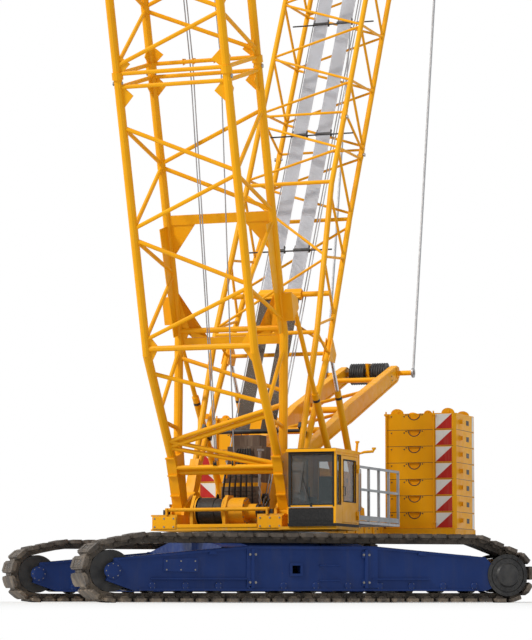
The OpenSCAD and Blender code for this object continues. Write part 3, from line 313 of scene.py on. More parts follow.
# ---------------------------------------------------------------- shape helpers
class Form:
    """One piece, gathered from simple solids in a local frame m."""

    def __init__(self, name, mat, body="superstructure", m=None, bevel=0.0, smooth=False):
        self.name, self.mat, self.body = name, mat, body
        self.m = m or Matrix.Identity(4)
        self.bevel, self.smooth = bevel, smooth
        self.v, self.f, self.uv = [], [], []

    def add(self, verts, faces, uvs=None):
        k = len(self.v)
        self.v += [self.m @ Vector(p) for p in verts]
        self.f += [tuple(i + k for i in f) for f in faces]
        self.uv += uvs if uvs else [None] * len(faces)

    def box(self, lo, hi):
        """An upright box between any two opposite corners."""
        (a, d), (b, e), (c, f) = (sorted(pair) for pair in zip(lo, hi))
        self.add([(a, b, c), (d, b, c), (d, e, c), (a, e, c), (a, b, f), (d, b, f), (d, e, f), (a, e, f)],
                 [(0, 3, 2, 1), (4, 5, 6, 7), (0, 1, 5, 4), (1, 2, 6, 5), (2, 3, 7, 6), (3, 0, 4, 7)])

    def plate(self, outline, y, t):
        """[x, z] outline, from y to y + t; t may be negative."""
        y, t = min(y, y + t), abs(t)
        n = len(outline)
        vs = [(x, y, z) for x, z in outline] + [(x, y + t, z) for x, z in outline]
        fs = [tuple(range(n)), tuple(range(2 * n - 1, n - 1, -1))]
        fs += [(i, i + n, (i + 1) % n + n, (i + 1) % n) for i in range(n)]
        self.add(vs, fs)

    def rect(self, x0, x1, z0, z1, y, t):
        self.plate([(x0, z0), (x1, z0), (x1, z1), (x0, z1)], y, t)

    def tube(self, a, b, r, n=12):
        a, b = Vector(a), Vector(b)
        d = (b - a).normalized()
        u = d.orthogonal().normalized()
        w = d.cross(u)
        vs = []
        for p in (a, b):
            for i in range(n):
                t = 2 * math.pi * i / n
                vs.append(p + (u * math.cos(t) + w * math.sin(t)) * r)
        fs = [tuple(range(n - 1, -1, -1)), tuple(range(n, 2 * n))]
        fs += [(i, (i + 1) % n, (i + 1) % n + n, i + n) for i in range(n)]
        self.add([tuple(p) for p in vs], fs)

    def hexes(self, points, axis, r=0.018, h=0.012):
        """Bolt heads with washers."""
        d = Vector(axis).normalized()
        for p in points:
            p = Vector(p)
            self.tube(p, p + d * h * 0.3, r * 1.45, 12)
            self.tube(p + d * h * 0.3, p + d * h, r, 6)

    def spin(self, profile, centre, axis="Y", n=48, closed=True):
        """Turns (radius, along) points about an axis through centre."""
        k = len(profile)
        vs = []
        for i in range(n):
            t = 2 * math.pi * i / n
            for r, s in profile:
                c, q = r * math.cos(t), r * math.sin(t)
                p = (c, s, q) if axis == "Y" else (q, c, s) if axis == "Z" else (s, c, q)
                vs.append((centre[0] + p[0], centre[1] + p[1], centre[2] + p[2]))
        fs = []
        for i in range(n):
            j = (i + 1) % n
            for a in range(k if closed else k - 1):
                b = (a + 1) % k
                fs.append((i * k + a, i * k + b, j * k + b, j * k + a))
        self.add(vs, fs)

    def rim(self, r0, r1, y0, y1, centre, n=28):
        """A flat ring about Y, from y0 to y1 beside the centre."""
        self.spin([(r0, y0), (r0, y1), (r1, y1), (r1, y0)], centre, n=n)

    def cap(self, profile, centre, n, axis="Y"):
        """A turned piece with an open profile, such as a cover."""
        self.spin(profile, centre, axis, n, closed=False)

    def run(self, points, r, n=8, lay=0.0):
        """A round bar or rope along a line of points; lay is the strands' pitch."""
        pts = [Vector(p) for p in points]
        tang = []
        for i in range(len(pts)):
            a, b = pts[max(0, i - 1)], pts[min(len(pts) - 1, i + 1)]
            tang.append((b - a).normalized())
        u = tang[0].orthogonal().normalized()
        vs, along, dist = [], 0.0, []
        for i, p in enumerate(pts):
            if i:
                along += (p - pts[i - 1]).length
                u = (u - tang[i] * u.dot(tang[i])).normalized()
            dist.append(along)
            w = tang[i].cross(u)
            for j in range(n):
                t = 2 * math.pi * j / n
                vs.append(tuple(p + (u * math.cos(t) + w * math.sin(t)) * r))
        fs, uvs = [], []
        k = 1.0 / lay if lay else 1.0
        for i in range(len(pts) - 1):
            for j in range(n):
                fs.append((i * n + j, i * n + (j + 1) % n, (i + 1) * n + (j + 1) % n, (i + 1) * n + j))
                a, b = dist[i] * k, dist[i + 1] * k
                uvs.append([(a, j / n * 6), (a, (j + 1) / n * 6), (b, (j + 1) / n * 6), (b, j / n * 6)])
        fs.append(tuple(range(n - 1, -1, -1)))
        fs.append(tuple((len(pts) - 1) * n + j for j in range(n)))
        uvs += [[(0, 0)] * n, [(0, 0)] * n]
        self.add(vs, fs, uvs=uvs)

    def rope(self, a, b, r=0.014, steps=1):
        a, b = Vector(a), Vector(b)
        self.run([a + (b - a) * (i / steps) for i in range(steps + 1)], r, 6, lay=0.16)

    def done(self, *replaced):
        me = bpy.data.meshes.new(self.name)
        me.from_pydata([tuple(p) for p in self.v], [], self.f)
        if any(self.uv):
            layer = me.uv_layers.new(name="run")
            li = 0
            for f, uvs in zip(self.f, self.uv):
                for c in range(len(f)):
                    layer.data[li].uv = uvs[c] if uvs else (0.0, 0.0)
                    li += 1
        bm = bmesh.new()
        bm.from_mesh(me)
        bmesh.ops.recalc_face_normals(bm, faces=bm.faces[:])
        bm.to_mesh(me)
        bm.free()
        me.materials.append(self.mat)
        o = bpy.data.objects.new(self.name, me)
        bpy.context.scene.collection.objects.link(o)
        if self.smooth:
            me.polygons.foreach_set("use_smooth", [True] * len(me.polygons))
            for e in me.edges:
                e.use_edge_sharp = False
            bm = bmesh.new()
            bm.from_mesh(me)
            for e in bm.edges:
                if len(e.link_faces) == 2 and e.calc_face_angle(0.0) > rad(38):
                    e.smooth = False
            bm.to_mesh(me)
            bm.free()
        if self.bevel:
            b = o.modifiers.new("edges", "BEVEL")
            b.width = self.bevel
            b.segments = 2
            b.limit_method = "ANGLE"
            b.angle_limit = rad(40)
        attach(o, self.body)
        if replaced:
            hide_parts(*replaced)
        return o


def circle(x, y, z, r, angles):
    """Points round a centre in the XZ plane, one for each angle in degrees."""
    return [(x + r * math.cos(rad(k)), y, z + r * math.sin(rad(k))) for k in angles]


def corners_of(depth, width):
    return [(x * depth / 2, y * width / 2) for x in SIDES for y in SIDES]


def turned(x, y, z, lean):
    """Frame whose Z leans from upright towards +X by lean degrees."""
    return Matrix.Translation((x, y, z)) @ Matrix.Rotation(rad(lean), 4, "Y")


# ---------------------------------------------------------------- sizes, in metres, as in the part's source
SIDES = (-1, 1)
TURN, GAUGE = -54.0, 7.2
SHOE_T, LINK_T, LINK_W = 0.07, 0.11, 0.56
HALF = 9.35 / 2 - SHOE_T
IDLER, SPROCKET = (HALF - 0.54, SHOE_T + 0.54), (-HALF + 0.47, SHOE_T + 0.47)
ROLLER_Z = SHOE_T + LINK_T + 0.14
CIRCLES = [(SPROCKET[0], SPROCKET[1], 0.47), (IDLER[0], IDLER[1], 0.54),
           (HALF - 1.15, 1.35 - SHOE_T - 0.3, 0.3), (-HALF + 1.15, 1.35 - SHOE_T - 0.3, 0.3)]
FRAME_W, FRAME_TOP, FRAME_LOW = 0.94, 1.35 - SHOE_T - LINK_T - 0.06, SHOE_T + LINK_T + 0.04
DECK_Z, DECK_TOP, DECK_HALF, DECK_FRONT, DECK_REAR = 1.46, 1.79, 1.43, 2.35, -6.25
BOOM = turned(1.4, 0.0, 1.86, 16.5)
MAST = turned(0.88, 0.0, 2.16, -28.5)
BACK = turned(-0.35, 0.0, 2.9, -90 + 18.5)
BOOM_W, BOOM_D = 2.34, 1.86
HOISTS = (-0.36, -0.30, 0.32)  # across the boom
BASE_LEN = 3.55 + 0.3 + 2.5 * 2.15
SECTION = 10.75
JOINTS = (BASE_LEN, BASE_LEN + SECTION, BASE_LEN + 2 * SECTION)
HEAD_Z0 = JOINTS[2] + 0.0009
HEAD_Z1 = HEAD_Z0 + 4.3
MAST_W, MAST_D = 2.0, 1.42
MAST_BASE, MAST_SECTION = 9.6, 8.5
MAST_HEAD = MAST_BASE + 2 * MAST_SECTION + 0.0009
MAST_PIN = MAST_HEAD + 1.5


def crawler(side):
    return Matrix.Rotation(rad(TURN), 4, "Z") @ Matrix.Translation((0, side * GAUGE / 2, 0))


def track_path():
    """Length and point function of the shoes' path."""
    pieces, total = [], 0.0
    n = len(CIRCLES)
    normals = []
    for i in range(n):
        a, b = CIRCLES[i], CIRCLES[(i + 1) % n]
        dx, dz = b[0] - a[0], b[1] - a[1]
        d = math.hypot(dx, dz)
        normals.append((math.degrees(math.atan2(dz, dx)) - 90 + math.degrees(math.asin((a[2] - b[2]) / d)),
                        math.sqrt(d * d - (a[2] - b[2]) ** 2)))
    for i in range(n):
        nrm, length = normals[i]
        turn = (normals[(i + 1) % n][0] - nrm) % 360
        e = CIRCLES[(i + 1) % n]
        pieces.append((CIRCLES[i], nrm, length, e, turn, e[2] * rad(turn)))
        total += length + e[2] * rad(turn)

    def at(s):
        s = s % total
        for c, nrm, length, e, turn, arc in pieces:
            t = rad(nrm)
            if s <= length:
                return (c[0] + c[2] * math.cos(t) - s * math.sin(t), c[1] + c[2] * math.sin(t) + s * math.cos(t), nrm)
            s -= length
            if s <= arc:
                a = nrm + math.degrees(s / e[2])
                return (e[0] + e[2] * math.cos(rad(a)), e[1] + e[2] * math.sin(rad(a)), a)
            s -= arc
        return at(0.0)

    return total, at


PATH_LEN, path_at = track_path()
SHOES = math.floor(PATH_LEN / 0.31)
PITCH = PATH_LEN / SHOES
STRIP = 0.045  # height of the strips along the side frame's edges

# ---------------------------------------------------------------- crawlers
for side, tag in ((1, "left"), (-1, "right")):
    base = crawler(side)
    ribs = Form("track_ribs_" + tag, TRACK, "undercarriage", base, bevel=0.004)
    bolts = Form("track_bolts_" + tag, BOLT, "undercarriage", base)
    links = Form("track_links_" + tag, TRACK, "undercarriage", base, bevel=0.003)
    for i in range(SHOES):
        x, z, nrm = path_at((i + 0.5) * PITCH)
        place = Matrix.Translation((x, 0, z)) @ Matrix.Rotation(rad(90 - nrm), 4, "Y")
        ribs.m = bolts.m = base @ place
        # Raised ends and a hollow middle, only where they stay above the ground line
        if z > 0.45:
            for y0, y1 in ((-0.57, -0.34), (0.34, 0.57)):
                ribs.box((-0.10, y0, SHOE_T - 0.002), (0.10, y1, SHOE_T + 0.012))
            ribs.box((-0.10, -0.30, SHOE_T - 0.002), (-0.06, 0.30, SHOE_T + 0.010))
            ribs.box((0.06, -0.30, SHOE_T - 0.002), (0.10, 0.30, SHOE_T + 0.010))
            bolts.hexes([(a, b, SHOE_T) for a in (-0.03, 0.03) for b in (-0.2, -0.12, 0.12, 0.2)],
                        (0, 0, 1), 0.013, 0.011)
        # Web under the shoe's overhang
        for s in SIDES:
            ribs.plate([(-0.10, 0.0), (0.10, 0.0), (0.06, -0.045), (-0.06, -0.045)], s * 0.42 - 0.012, 0.024)
        # Link plates and pin heads on both flanks
        x, z, nrm = path_at(i * PITCH)
        px, pz = x - 0.055 * math.cos(rad(nrm)), z - 0.055 * math.sin(rad(nrm))
        for s in SIDES:
            y = s * LINK_W / 2
            links.tube((px, y, pz), (px, y + s * 0.026, pz), 0.040, 12)
            links.tube((px, y + s * 0.026, pz), (px, y + s * 0.034, pz), 0.018, 8)
    ribs.done()
    bolts.done()
    links.done()

    # Side frame: strips along the edges, covers, bolts, steps
    trim = Form("side_frame_trim_" + tag, BLUE, "undercarriage", base, bevel=0.006)
    fix = Form("side_frame_bolts_" + tag, BOLT, "undercarriage", base)
    for s in SIDES:
        y = s * FRAME_W / 2
        lo, hi = sorted((y, y + s * 0.022))
        # Flange strips that follow the frame's top and bottom edges
        edge = ((-3.35, 0.93), (-1.3, FRAME_TOP - 0.02), (1.3, FRAME_TOP - 0.02), (3.95, 0.86))
        for a, b in zip(edge, edge[1:]):
            trim.plate([a, b, (b[0], b[1] - STRIP), (a[0], a[1] - STRIP)], lo, hi - lo)
        trim.rect(-3.4, 3.55, FRAME_LOW, FRAME_LOW + STRIP, lo, hi - lo)
        # Round covers over the roller axles
        x0, x1 = SPROCKET[0] + 0.72, IDLER[0] - 0.79
        for i in range(11):
            x = x0 + (x1 - x0) * i / 10
            trim.cap([(0.0, 0.0), (0.075, 0.0), (0.070, s * 0.018), (0.045, s * 0.026), (0.0, s * 0.026)],
                      (x, y, ROLLER_Z), 20)
            fix.hexes(circle(x, y + s * 0.012, ROLLER_Z, 0.058, (45, 135, 225, 315)), (0, s, 0), 0.008, 0.010)
        # Idler cap and tensioner cover
        trim.cap([(0.0, 0.0), (0.17, 0.0), (0.165, s * 0.03), (0.10, s * 0.055), (0.0, s * 0.055)],
                  (IDLER[0], y, IDLER[1]), 32)
        fix.hexes(circle(IDLER[0], y + s * 0.03, IDLER[1], 0.135, range(0, 360, 45)), (0, s, 0), 0.013, 0.014)
        trim.plate([(2.35, 0.58), (3.05, 0.60), (3.05, 0.84), (2.35, 0.86)], lo, hi - lo)
        fix.hexes([(x, y + s * 0.022, z) for x in (2.41, 2.70, 2.99) for z in (0.63, 0.80)], (0, s, 0), 0.011, 0.012)
        # Frame round the square hole, lifting eyes on the top edge
        for lo_, hi_ in (((0.20, 0.51), (0.47, 0.56)), ((0.20, 0.72), (0.47, 0.77)), ((0.20, 0.56), (0.25, 0.72)),
                         ((0.42, 0.56), (0.47, 0.72))):
            trim.rect(lo_[0], hi_[0], lo_[1], hi_[1], lo, hi - lo)
        for x in (-2.3, 2.05):
            trim.plate([(x - 0.09, 0.93), (x + 0.09, 0.93), (x + 0.06, 1.0), (x - 0.06, 1.0)], lo, (hi - lo) * 1.6)
    # Outer face: upright flanges with bolted lugs, ledges in the end bays
    y = side * FRAME_W / 2

    for x in (-1.12, 1.24):
        trim.rect(x - 0.030, x + 0.030, FRAME_LOW + 0.05, FRAME_TOP - 0.07, y, side * 0.055)
        for z in (FRAME_LOW + 0.10, FRAME_TOP - 0.24):
            trim.rect(x - 0.085, x + 0.085, z, z + 0.13, y, side * 0.040)
            fix.hexes([(x + d, y + side * 0.040, z + 0.065) for d in (-0.058, 0.058)], (0, side, 0), 0.017, 0.018)
    for x0, x1 in ((-2.45, -1.24), (1.36, 3.30)):
        trim.rect(x0, x1, FRAME_LOW + 0.22, FRAME_LOW + 0.25, y, side * 0.045)
    # Steps on the outer face
    for i in range(2):
        z = 0.42 + i * 0.3
        trim.run([(-0.55, side * FRAME_W / 2, z), (-0.55, side * (FRAME_W / 2 + 0.09), z),
                  (-0.15, side * (FRAME_W / 2 + 0.09), z), (-0.15, side * FRAME_W / 2, z)], 0.012, 8)
    trim.done()
    fix.done()
    hub = Form("drive_hub_" + tag, DARK, "undercarriage", base, smooth=True)
    for s in SIDES:
        y = s * FRAME_W / 2
        hub.cap([(0.0, 0.0), (0.33, 0.0), (0.33, s * 0.02), (0.25, s * 0.03), (0.22, s * 0.075), (0.12, s * 0.09),
                 (0.0, s * 0.09)],
                 (SPROCKET[0], y, SPROCKET[1]), 48)
        hub.hexes(circle(SPROCKET[0], y + s * 0.02, SPROCKET[1], 0.29, range(0, 360, 20)), (0, s, 0), 0.012, 0.016)
        # Drive housing ring with its bolts
        hub.rim(0.352, 0.425, 0.0, s * 0.02, (SPROCKET[0], y, SPROCKET[1]), 48)
        hub.hexes(circle(SPROCKET[0], y + s * 0.02, SPROCKET[1], 0.39, range(0, 360, 18)), (0, s, 0), 0.012, 0.014)
    hub.done()

# Car body: slew ring teeth, bolts, flanges, pipes
gear = Form("slew_gear_teeth", DARK, "undercarriage", bevel=0.003)
TEETH = 96
for k in range(TEETH):
    gear.m = Matrix.Rotation(rad(k * 360 / TEETH), 4, "Z")
    gear.rect(1.555, 1.60, 1.33, 1.42, -0.022, 0.044)
gear.done()
body_m = Matrix.Rotation(rad(TURN), 4, "Z")
cap = Form("car_body_trim", BLUE, "undercarriage", body_m, bevel=0.006)
capb = Form("car_body_bolts", BOLT, "undercarriage", body_m)
for x in (-1.25, 1.25):
    for y in SIDES:
        for e in (-0.31, 0.31):
            cap.box((x + e - 0.018, y * 1.66, 0.50), (x + e + 0.018, y * 3.128, 0.545))
        # Bolted flange against the side frame
        for lo_, hi_ in (((x - 0.37, 0.46), (x + 0.37, 0.52)), ((x - 0.37, 1.04), (x + 0.37, 1.10))):
            a, b = y * 3.09, y * 3.128
            cap.box((lo_[0], a, lo_[1]), (hi_[0], b, hi_[1]))
        capb.hexes([(x + e, y * 3.09, z) for e in (-0.28, -0.14, 0.0, 0.14, 0.28) for z in (0.49, 1.07)],
                   (0, -y, 0), 0.018, 0.02)
for s in SIDES:
    cap.box((-0.85, s * 1.65, 0.75), (0.85, s * 1.675, 1.1))
    capb.hexes([(x, s * 1.675, z) for x in (-0.78, -0.4, 0.0, 0.4, 0.78) for z in (0.8, 1.05)], (0, s, 0), 0.016, 0.016)
    cap.box((s * 1.65, -0.5, 0.42), (s * 1.70, 0.5, 0.62))
cap.done()
capb.done()
pipes = Form("drive_pipes", DARK, "undercarriage", body_m, smooth=True)
for k, z in enumerate((0.62, 0.69, 0.76)):
    for s in SIDES:
        pipes.run([(0.15 + k * 0.05, s * 1.64, z), (0.15 + k * 0.05, s * 2.3, z), (0.5 + k * 0.04, s * 2.5, z),
                   (0.9, s * 2.7, z), (0.93, s * 3.1, z)], 0.019, 8)
pipes.done()

# ---------------------------------------------------------------- deck and machinery
flange = Form("deck_flanges", YELLOW, bevel=0.005)
flangeb = Form("deck_bolts", BOLT)
for s in SIDES:
    a, b = s * DECK_HALF, s * (DECK_HALF + 0.03)
    flange.box((DECK_REAR + 1.75, a, DECK_TOP - 0.035), (DECK_FRONT, b, DECK_TOP - 0.001))
    flange.box((DECK_REAR + 1.75, a, DECK_Z + 0.001), (DECK_FRONT, b, DECK_Z + 0.035))
    x = DECK_REAR + 1.95
    while x < DECK_FRONT - 0.05:
        flange.box((x - 0.012, a, DECK_Z + 0.035), (x + 0.012, b, DECK_TOP - 0.035))
        x += 0.62
    flangeb.hexes([(DECK_REAR + 2.2 + k * 0.31, s * (DECK_HALF + 0.001), DECK_Z + 0.17) for k in range(18)],
                  (0, s, 0), 0.016, 0.016)
# Front end of the deck: nose plates and a sill
for y0, y1 in ((-1.42, -0.9), (0.9, 1.42)):
    flange.box((DECK_FRONT, y0, DECK_Z + 0.04), (DECK_FRONT + 0.02, y1, DECK_TOP - 0.04))
    flangeb.hexes([(DECK_FRONT + 0.02, y, z) for y in (y0 + 0.05, (y0 + y1) / 2, y1 - 0.05)
                   for z in (DECK_Z + 0.08, DECK_TOP - 0.08)], (1, 0, 0), 0.014, 0.014)
flange.box((DECK_FRONT - 0.02, -0.88, DECK_Z + 0.06), (DECK_FRONT + 0.015, 0.88, DECK_Z + 0.13))
flange.done()
flangeb.done()

# Engine house: doors, louvres, roof
HX0, HX1, HY, HZ = -4.3, -1.25, 0.98, DECK_TOP + 1.1
doors = Form("house_doors", YELLOW, bevel=0.006)
slats = Form("house_louvres", DARK, bevel=0.003)
grips = Form("house_handles", DARK, smooth=True)
for s in SIDES:
    for i in range(8):
        x0 = HX0 + 0.25 + i * 0.33
        for k in range(9):
            z = DECK_TOP + 0.34 + k * 0.062
            y = s * (HY - 0.018)
            slats.rect(x0 + 0.004, x0 + 0.196, z, z + 0.014, y - 0.011, 0.022)
    for i in range(3):
        x0 = HX0 + 0.08 + i * 0.98
        a, b = s * HY, s * (HY + 0.012)
        for lo_, hi_ in (((x0, 0.10), (x0 + 0.93, 0.17)), ((x0, 0.96), (x0 + 0.93, 1.03)),
                         ((x0, 0.17), (x0 + 0.06, 0.96)),
                         ((x0 + 0.87, 0.17), (x0 + 0.93, 0.96))):
            doors.box((lo_[0], a, DECK_TOP + lo_[1]), (hi_[0], b, DECK_TOP + hi_[1]))
        grips.run([(x0 + 0.84, s * (HY + 0.012), DECK_TOP + 0.52), (x0 + 0.84, s * (HY + 0.05), DECK_TOP + 0.53),
                   (x0 + 0.84, s * (HY + 0.05), DECK_TOP + 0.66), (x0 + 0.84, s * (HY + 0.012), DECK_TOP + 0.67)],
                   0.009, 8)
        for z in (0.25, 0.86):
            grips.tube((x0 + 0.02, s * (HY + 0.014), DECK_TOP + z),
                       (x0 + 0.02, s * (HY + 0.014), DECK_TOP + z + 0.09), 0.013, 10)
# Roof: raised hatch, cooler grille, exhaust with its cap
doors.box((HX0 + 0.15, -0.5, HZ), (HX0 + 1.2, 0.5, HZ + 0.03))
doors.box((HX1 - 1.1, -0.48, HZ), (HX1 - 0.1, 0.48, HZ + 0.025))
for x in (HX0 + 0.05, HX1 - 0.05):
    for y in (-0.85, 0.85):
        doors.plate([(x - 0.04, HZ), (x + 0.04, HZ), (x + 0.02, HZ + 0.08), (x - 0.02, HZ + 0.08)], y - 0.01, 0.02)
doors.done()
for k in range(22):
    slats.box((HX0 + 0.18 + k * 0.046, -0.46, HZ + 0.03), (HX0 + 0.20 + k * 0.046, 0.46, HZ + 0.045))
slats.done()
grips.done()
stack = Form("exhaust", DARK, smooth=True)
stack.cap([(0.0, 0.0), (0.085, 0.0), (0.085, 0.03), (0.06, 0.04), (0.06, 0.12), (0.11, 0.14), (0.11, 0.42),
           (0.06, 0.46),
            (0.06, 0.60), (0.05, 0.60), (0.05, 0.5), (0.0, 0.5)], (HX0 + 1.5, 0.18, HZ), 28, "Z")
stack.done()

# Machinery between the boom's feet: covers, valve block, pipes, chain
# The covers' dark brown is partly their paint and partly painted shade for the shadow round the machinery
box = Form("pump_covers", BROWN_AND_SHADE, bevel=0.008)
P0, P1 = 0.0, 0.95
box.box((P1, -0.42, DECK_TOP + 0.06), (P1 + 0.03, 0.42, DECK_TOP + 0.62))
box.box((P0 + 0.1, -0.40, DECK_TOP + 0.70), (P1 - 0.08, 0.40, DECK_TOP + 0.80))
box.box((P0 + 0.15, -0.39, DECK_TOP + 0.80), (P1 - 0.25, 0.39, DECK_TOP + 1.48))
for k in range(5):
    box.box((P1 - 0.25, -0.36 + k * 0.146, DECK_TOP + 0.84), (P1 - 0.235, -0.24 + k * 0.146, DECK_TOP + 1.44))
box.box((P0 + 0.22, -0.30, DECK_TOP + 1.48), (P1 - 0.30, 0.32, DECK_TOP + 1.72))
for k in range(6):
    box.box((P1 + 0.03, -0.36, DECK_TOP + 0.12 + k * 0.08), (P1 + 0.045, 0.36, DECK_TOP + 0.14 + k * 0.08))
box.done()
valves = Form("valve_block", STEEL, bevel=0.004)
for k in range(6):
    y = -0.36 + k * 0.13
    valves.box((P1 + 0.05, y, DECK_TOP + 0.001), (P1 + 0.30, y + 0.10, DECK_TOP + 0.16))
    valves.tube((P1 + 0.30, y + 0.05, DECK_TOP + 0.08), (P1 + 0.36, y + 0.05, DECK_TOP + 0.08), 0.03, 12)
valves.done()
lines = Form("machine_pipes", RUBBER, smooth=True)
for k in range(6):
    y = -0.31 + k * 0.13
    lines.run([(P1 + 0.2, y, DECK_TOP + 0.16), (P1 + 0.21, y, DECK_TOP + 0.5), (P1 + 0.16, y * 0.9, DECK_TOP + 0.9),
               (P1 - 0.05, y * 0.6, DECK_TOP + 1.2), (P1 - 0.2, y * 0.4, DECK_TOP + 1.42)], 0.02, 10)
lines.done()
chain = Form("stop_chain", STEEL, smooth=True)
for k in range(15):
    c = (P1 + 0.1, 0.47, DECK_TOP + 0.15 + k * 0.085)
    ring = []
    for j in range(13):
        t = 2 * math.pi * j / 12
        if k % 2:
            ring.append((c[0] + 0.022 * math.cos(t), c[1], c[2] + 0.05 * math.sin(t)))
        else:
            ring.append((c[0], c[1] + 0.022 * math.cos(t), c[2] + 0.05 * math.sin(t)))
    chain.run(ring, 0.008, 6)
chain.box((P1 - 0.02, 0.42, DECK_TOP + 1.36), (P1 + 0.14, 0.52, DECK_TOP + 1.40))
chain.box((P1 - 0.02, 0.40, DECK_TOP + 0.001), (P1 + 0.02, 0.44, DECK_TOP + 1.40))
chain.done()

# Front winch: rope windings, rims, gear case bolts
WX, WZ, WY0, WY1 = DECK_FRONT - 0.42, DECK_Z + 0.06 + 0.34, -0.56, 0.08
coil = Form("winch_rope", ROPE_DARK, "winch_drum", smooth=True)
turns, r0 = 19, 0.235 + 0.014
pts = []
for k in range(turns * 20 + 1):
    t = 2 * math.pi * k / 20
    pts.append((WX + r0 * math.cos(t), WY0 + 0.056 + (WY1 - WY0 - 0.112) * k / (turns * 20), WZ + r0 * math.sin(t)))
coil.run(pts, 0.0138, 6, lay=0.12)
pts = [(WX + (r0 + 0.025) * math.cos(2 * math.pi * k / 20), WY0 + 0.07 + (WY1 - WY0 - 0.30) * k / 240,
        WZ + (r0 + 0.025) * math.sin(2 * math.pi * k / 20)) for k in range(241)]
coil.run(pts, 0.0138, 6, lay=0.12)
coil.done()
rims = Form("winch_rims", YELLOW_OLD, "winch_drum", bevel=0.003)
for y in (WY0, WY1 - 0.04):
    rims.spin([(0.27, 0.002), (0.303, 0.002), (0.303, 0.038), (0.27, 0.038)], (WX, y, WZ))
rims.done()
gearb = Form("winch_bolts", BOLT)
gearb.hexes(circle(WX, WY1 + 0.42, WZ, 0.245, range(0, 360, 30)), (0, 1, 0), 0.013, 0.016)
gearb.hexes(circle(WX, WY1 + 0.66, WZ, 0.12, range(0, 360, 60)), (0, 1, 0), 0.011, 0.014)
gearb.hexes([(WX + x, WY0 - 0.07, WZ + z) for x in (-0.27, 0.27) for z in (-0.25, 0.0)], (0, -1, 0), 0.016, 0.016)
gearb.done()
motor = Form("winch_motor", DARK, smooth=True)
motor.cap([(0.0, 0.0), (0.14, 0.0), (0.14, 0.05), (0.11, 0.06), (0.11, 0.16), (0.07, 0.18), (0.0, 0.18)],
           (WX, WY1 + 0.66, WZ), 28)
motor.run([(WX + 0.05, WY1 + 0.80, WZ + 0.09), (WX + 0.04, WY1 + 0.82, WZ + 0.25), (WX - 0.2, WY1 + 0.78, WZ + 0.3),
           (WX - 0.5, WY1 + 0.6, WZ + 0.12)], 0.017, 8)
motor.run([(WX - 0.05, WY1 + 0.80, WZ + 0.09), (WX - 0.07, WY1 + 0.86, WZ + 0.22), (WX - 0.25, WY1 + 0.83, WZ + 0.25),
           (WX - 0.5, WY1 + 0.68, WZ + 0.12)], 0.017, 8)
motor.done()
beam = Form("winch_pipe", YELLOW_OLD, smooth=True)
beam.tube((WX + 0.40, -1.14, DECK_TOP + 0.10), (WX + 0.40, 1.14, DECK_TOP + 0.10), 0.038, 20)
for y in (-1.1, 1.1):
    beam.box((WX + 0.34, y - 0.02, DECK_TOP - 0.01), (WX + 0.46, y + 0.02, DECK_TOP + 0.13))
beam.done()
lamp = Form("front_lamps", DARK, bevel=0.004)
for y in (-1.20, 1.06):
    lamp.box((DECK_FRONT - 0.10, y, DECK_TOP + 0.002), (DECK_FRONT - 0.03, y + 0.14, DECK_TOP + 0.10))
    lamp.cap([(0.0, 0.008), (0.03, 0.006), (0.036, 0.0)], (DECK_FRONT - 0.03, y + 0.07, DECK_TOP + 0.05), 20, "X")
lamp.done()

# Pin heads and keeper plates of boom, mast and A-frame
pins = Form("foot_pin_heads", STEEL, bevel=0.004)
for s in SIDES:
    for x, z, r, y in ((1.4, 1.86, 0.13, 1.341), (0.88, 2.16, 0.11, 1.341), (-0.35, 2.9, 0.095, 0.762)):
        pins.tube((x, s * y, z), (x, s * (y + 0.03), z), r, 28)
        pins.tube((x, s * (y + 0.03), z), (x, s * (y + 0.045), z), r * 0.35, 12)
        a, b = s * y, s * (y + 0.016)
        pins.box((x - r * 1.5, a, z + r * 0.9), (x + r * 1.5, b, z + r * 1.35))
pins.done()

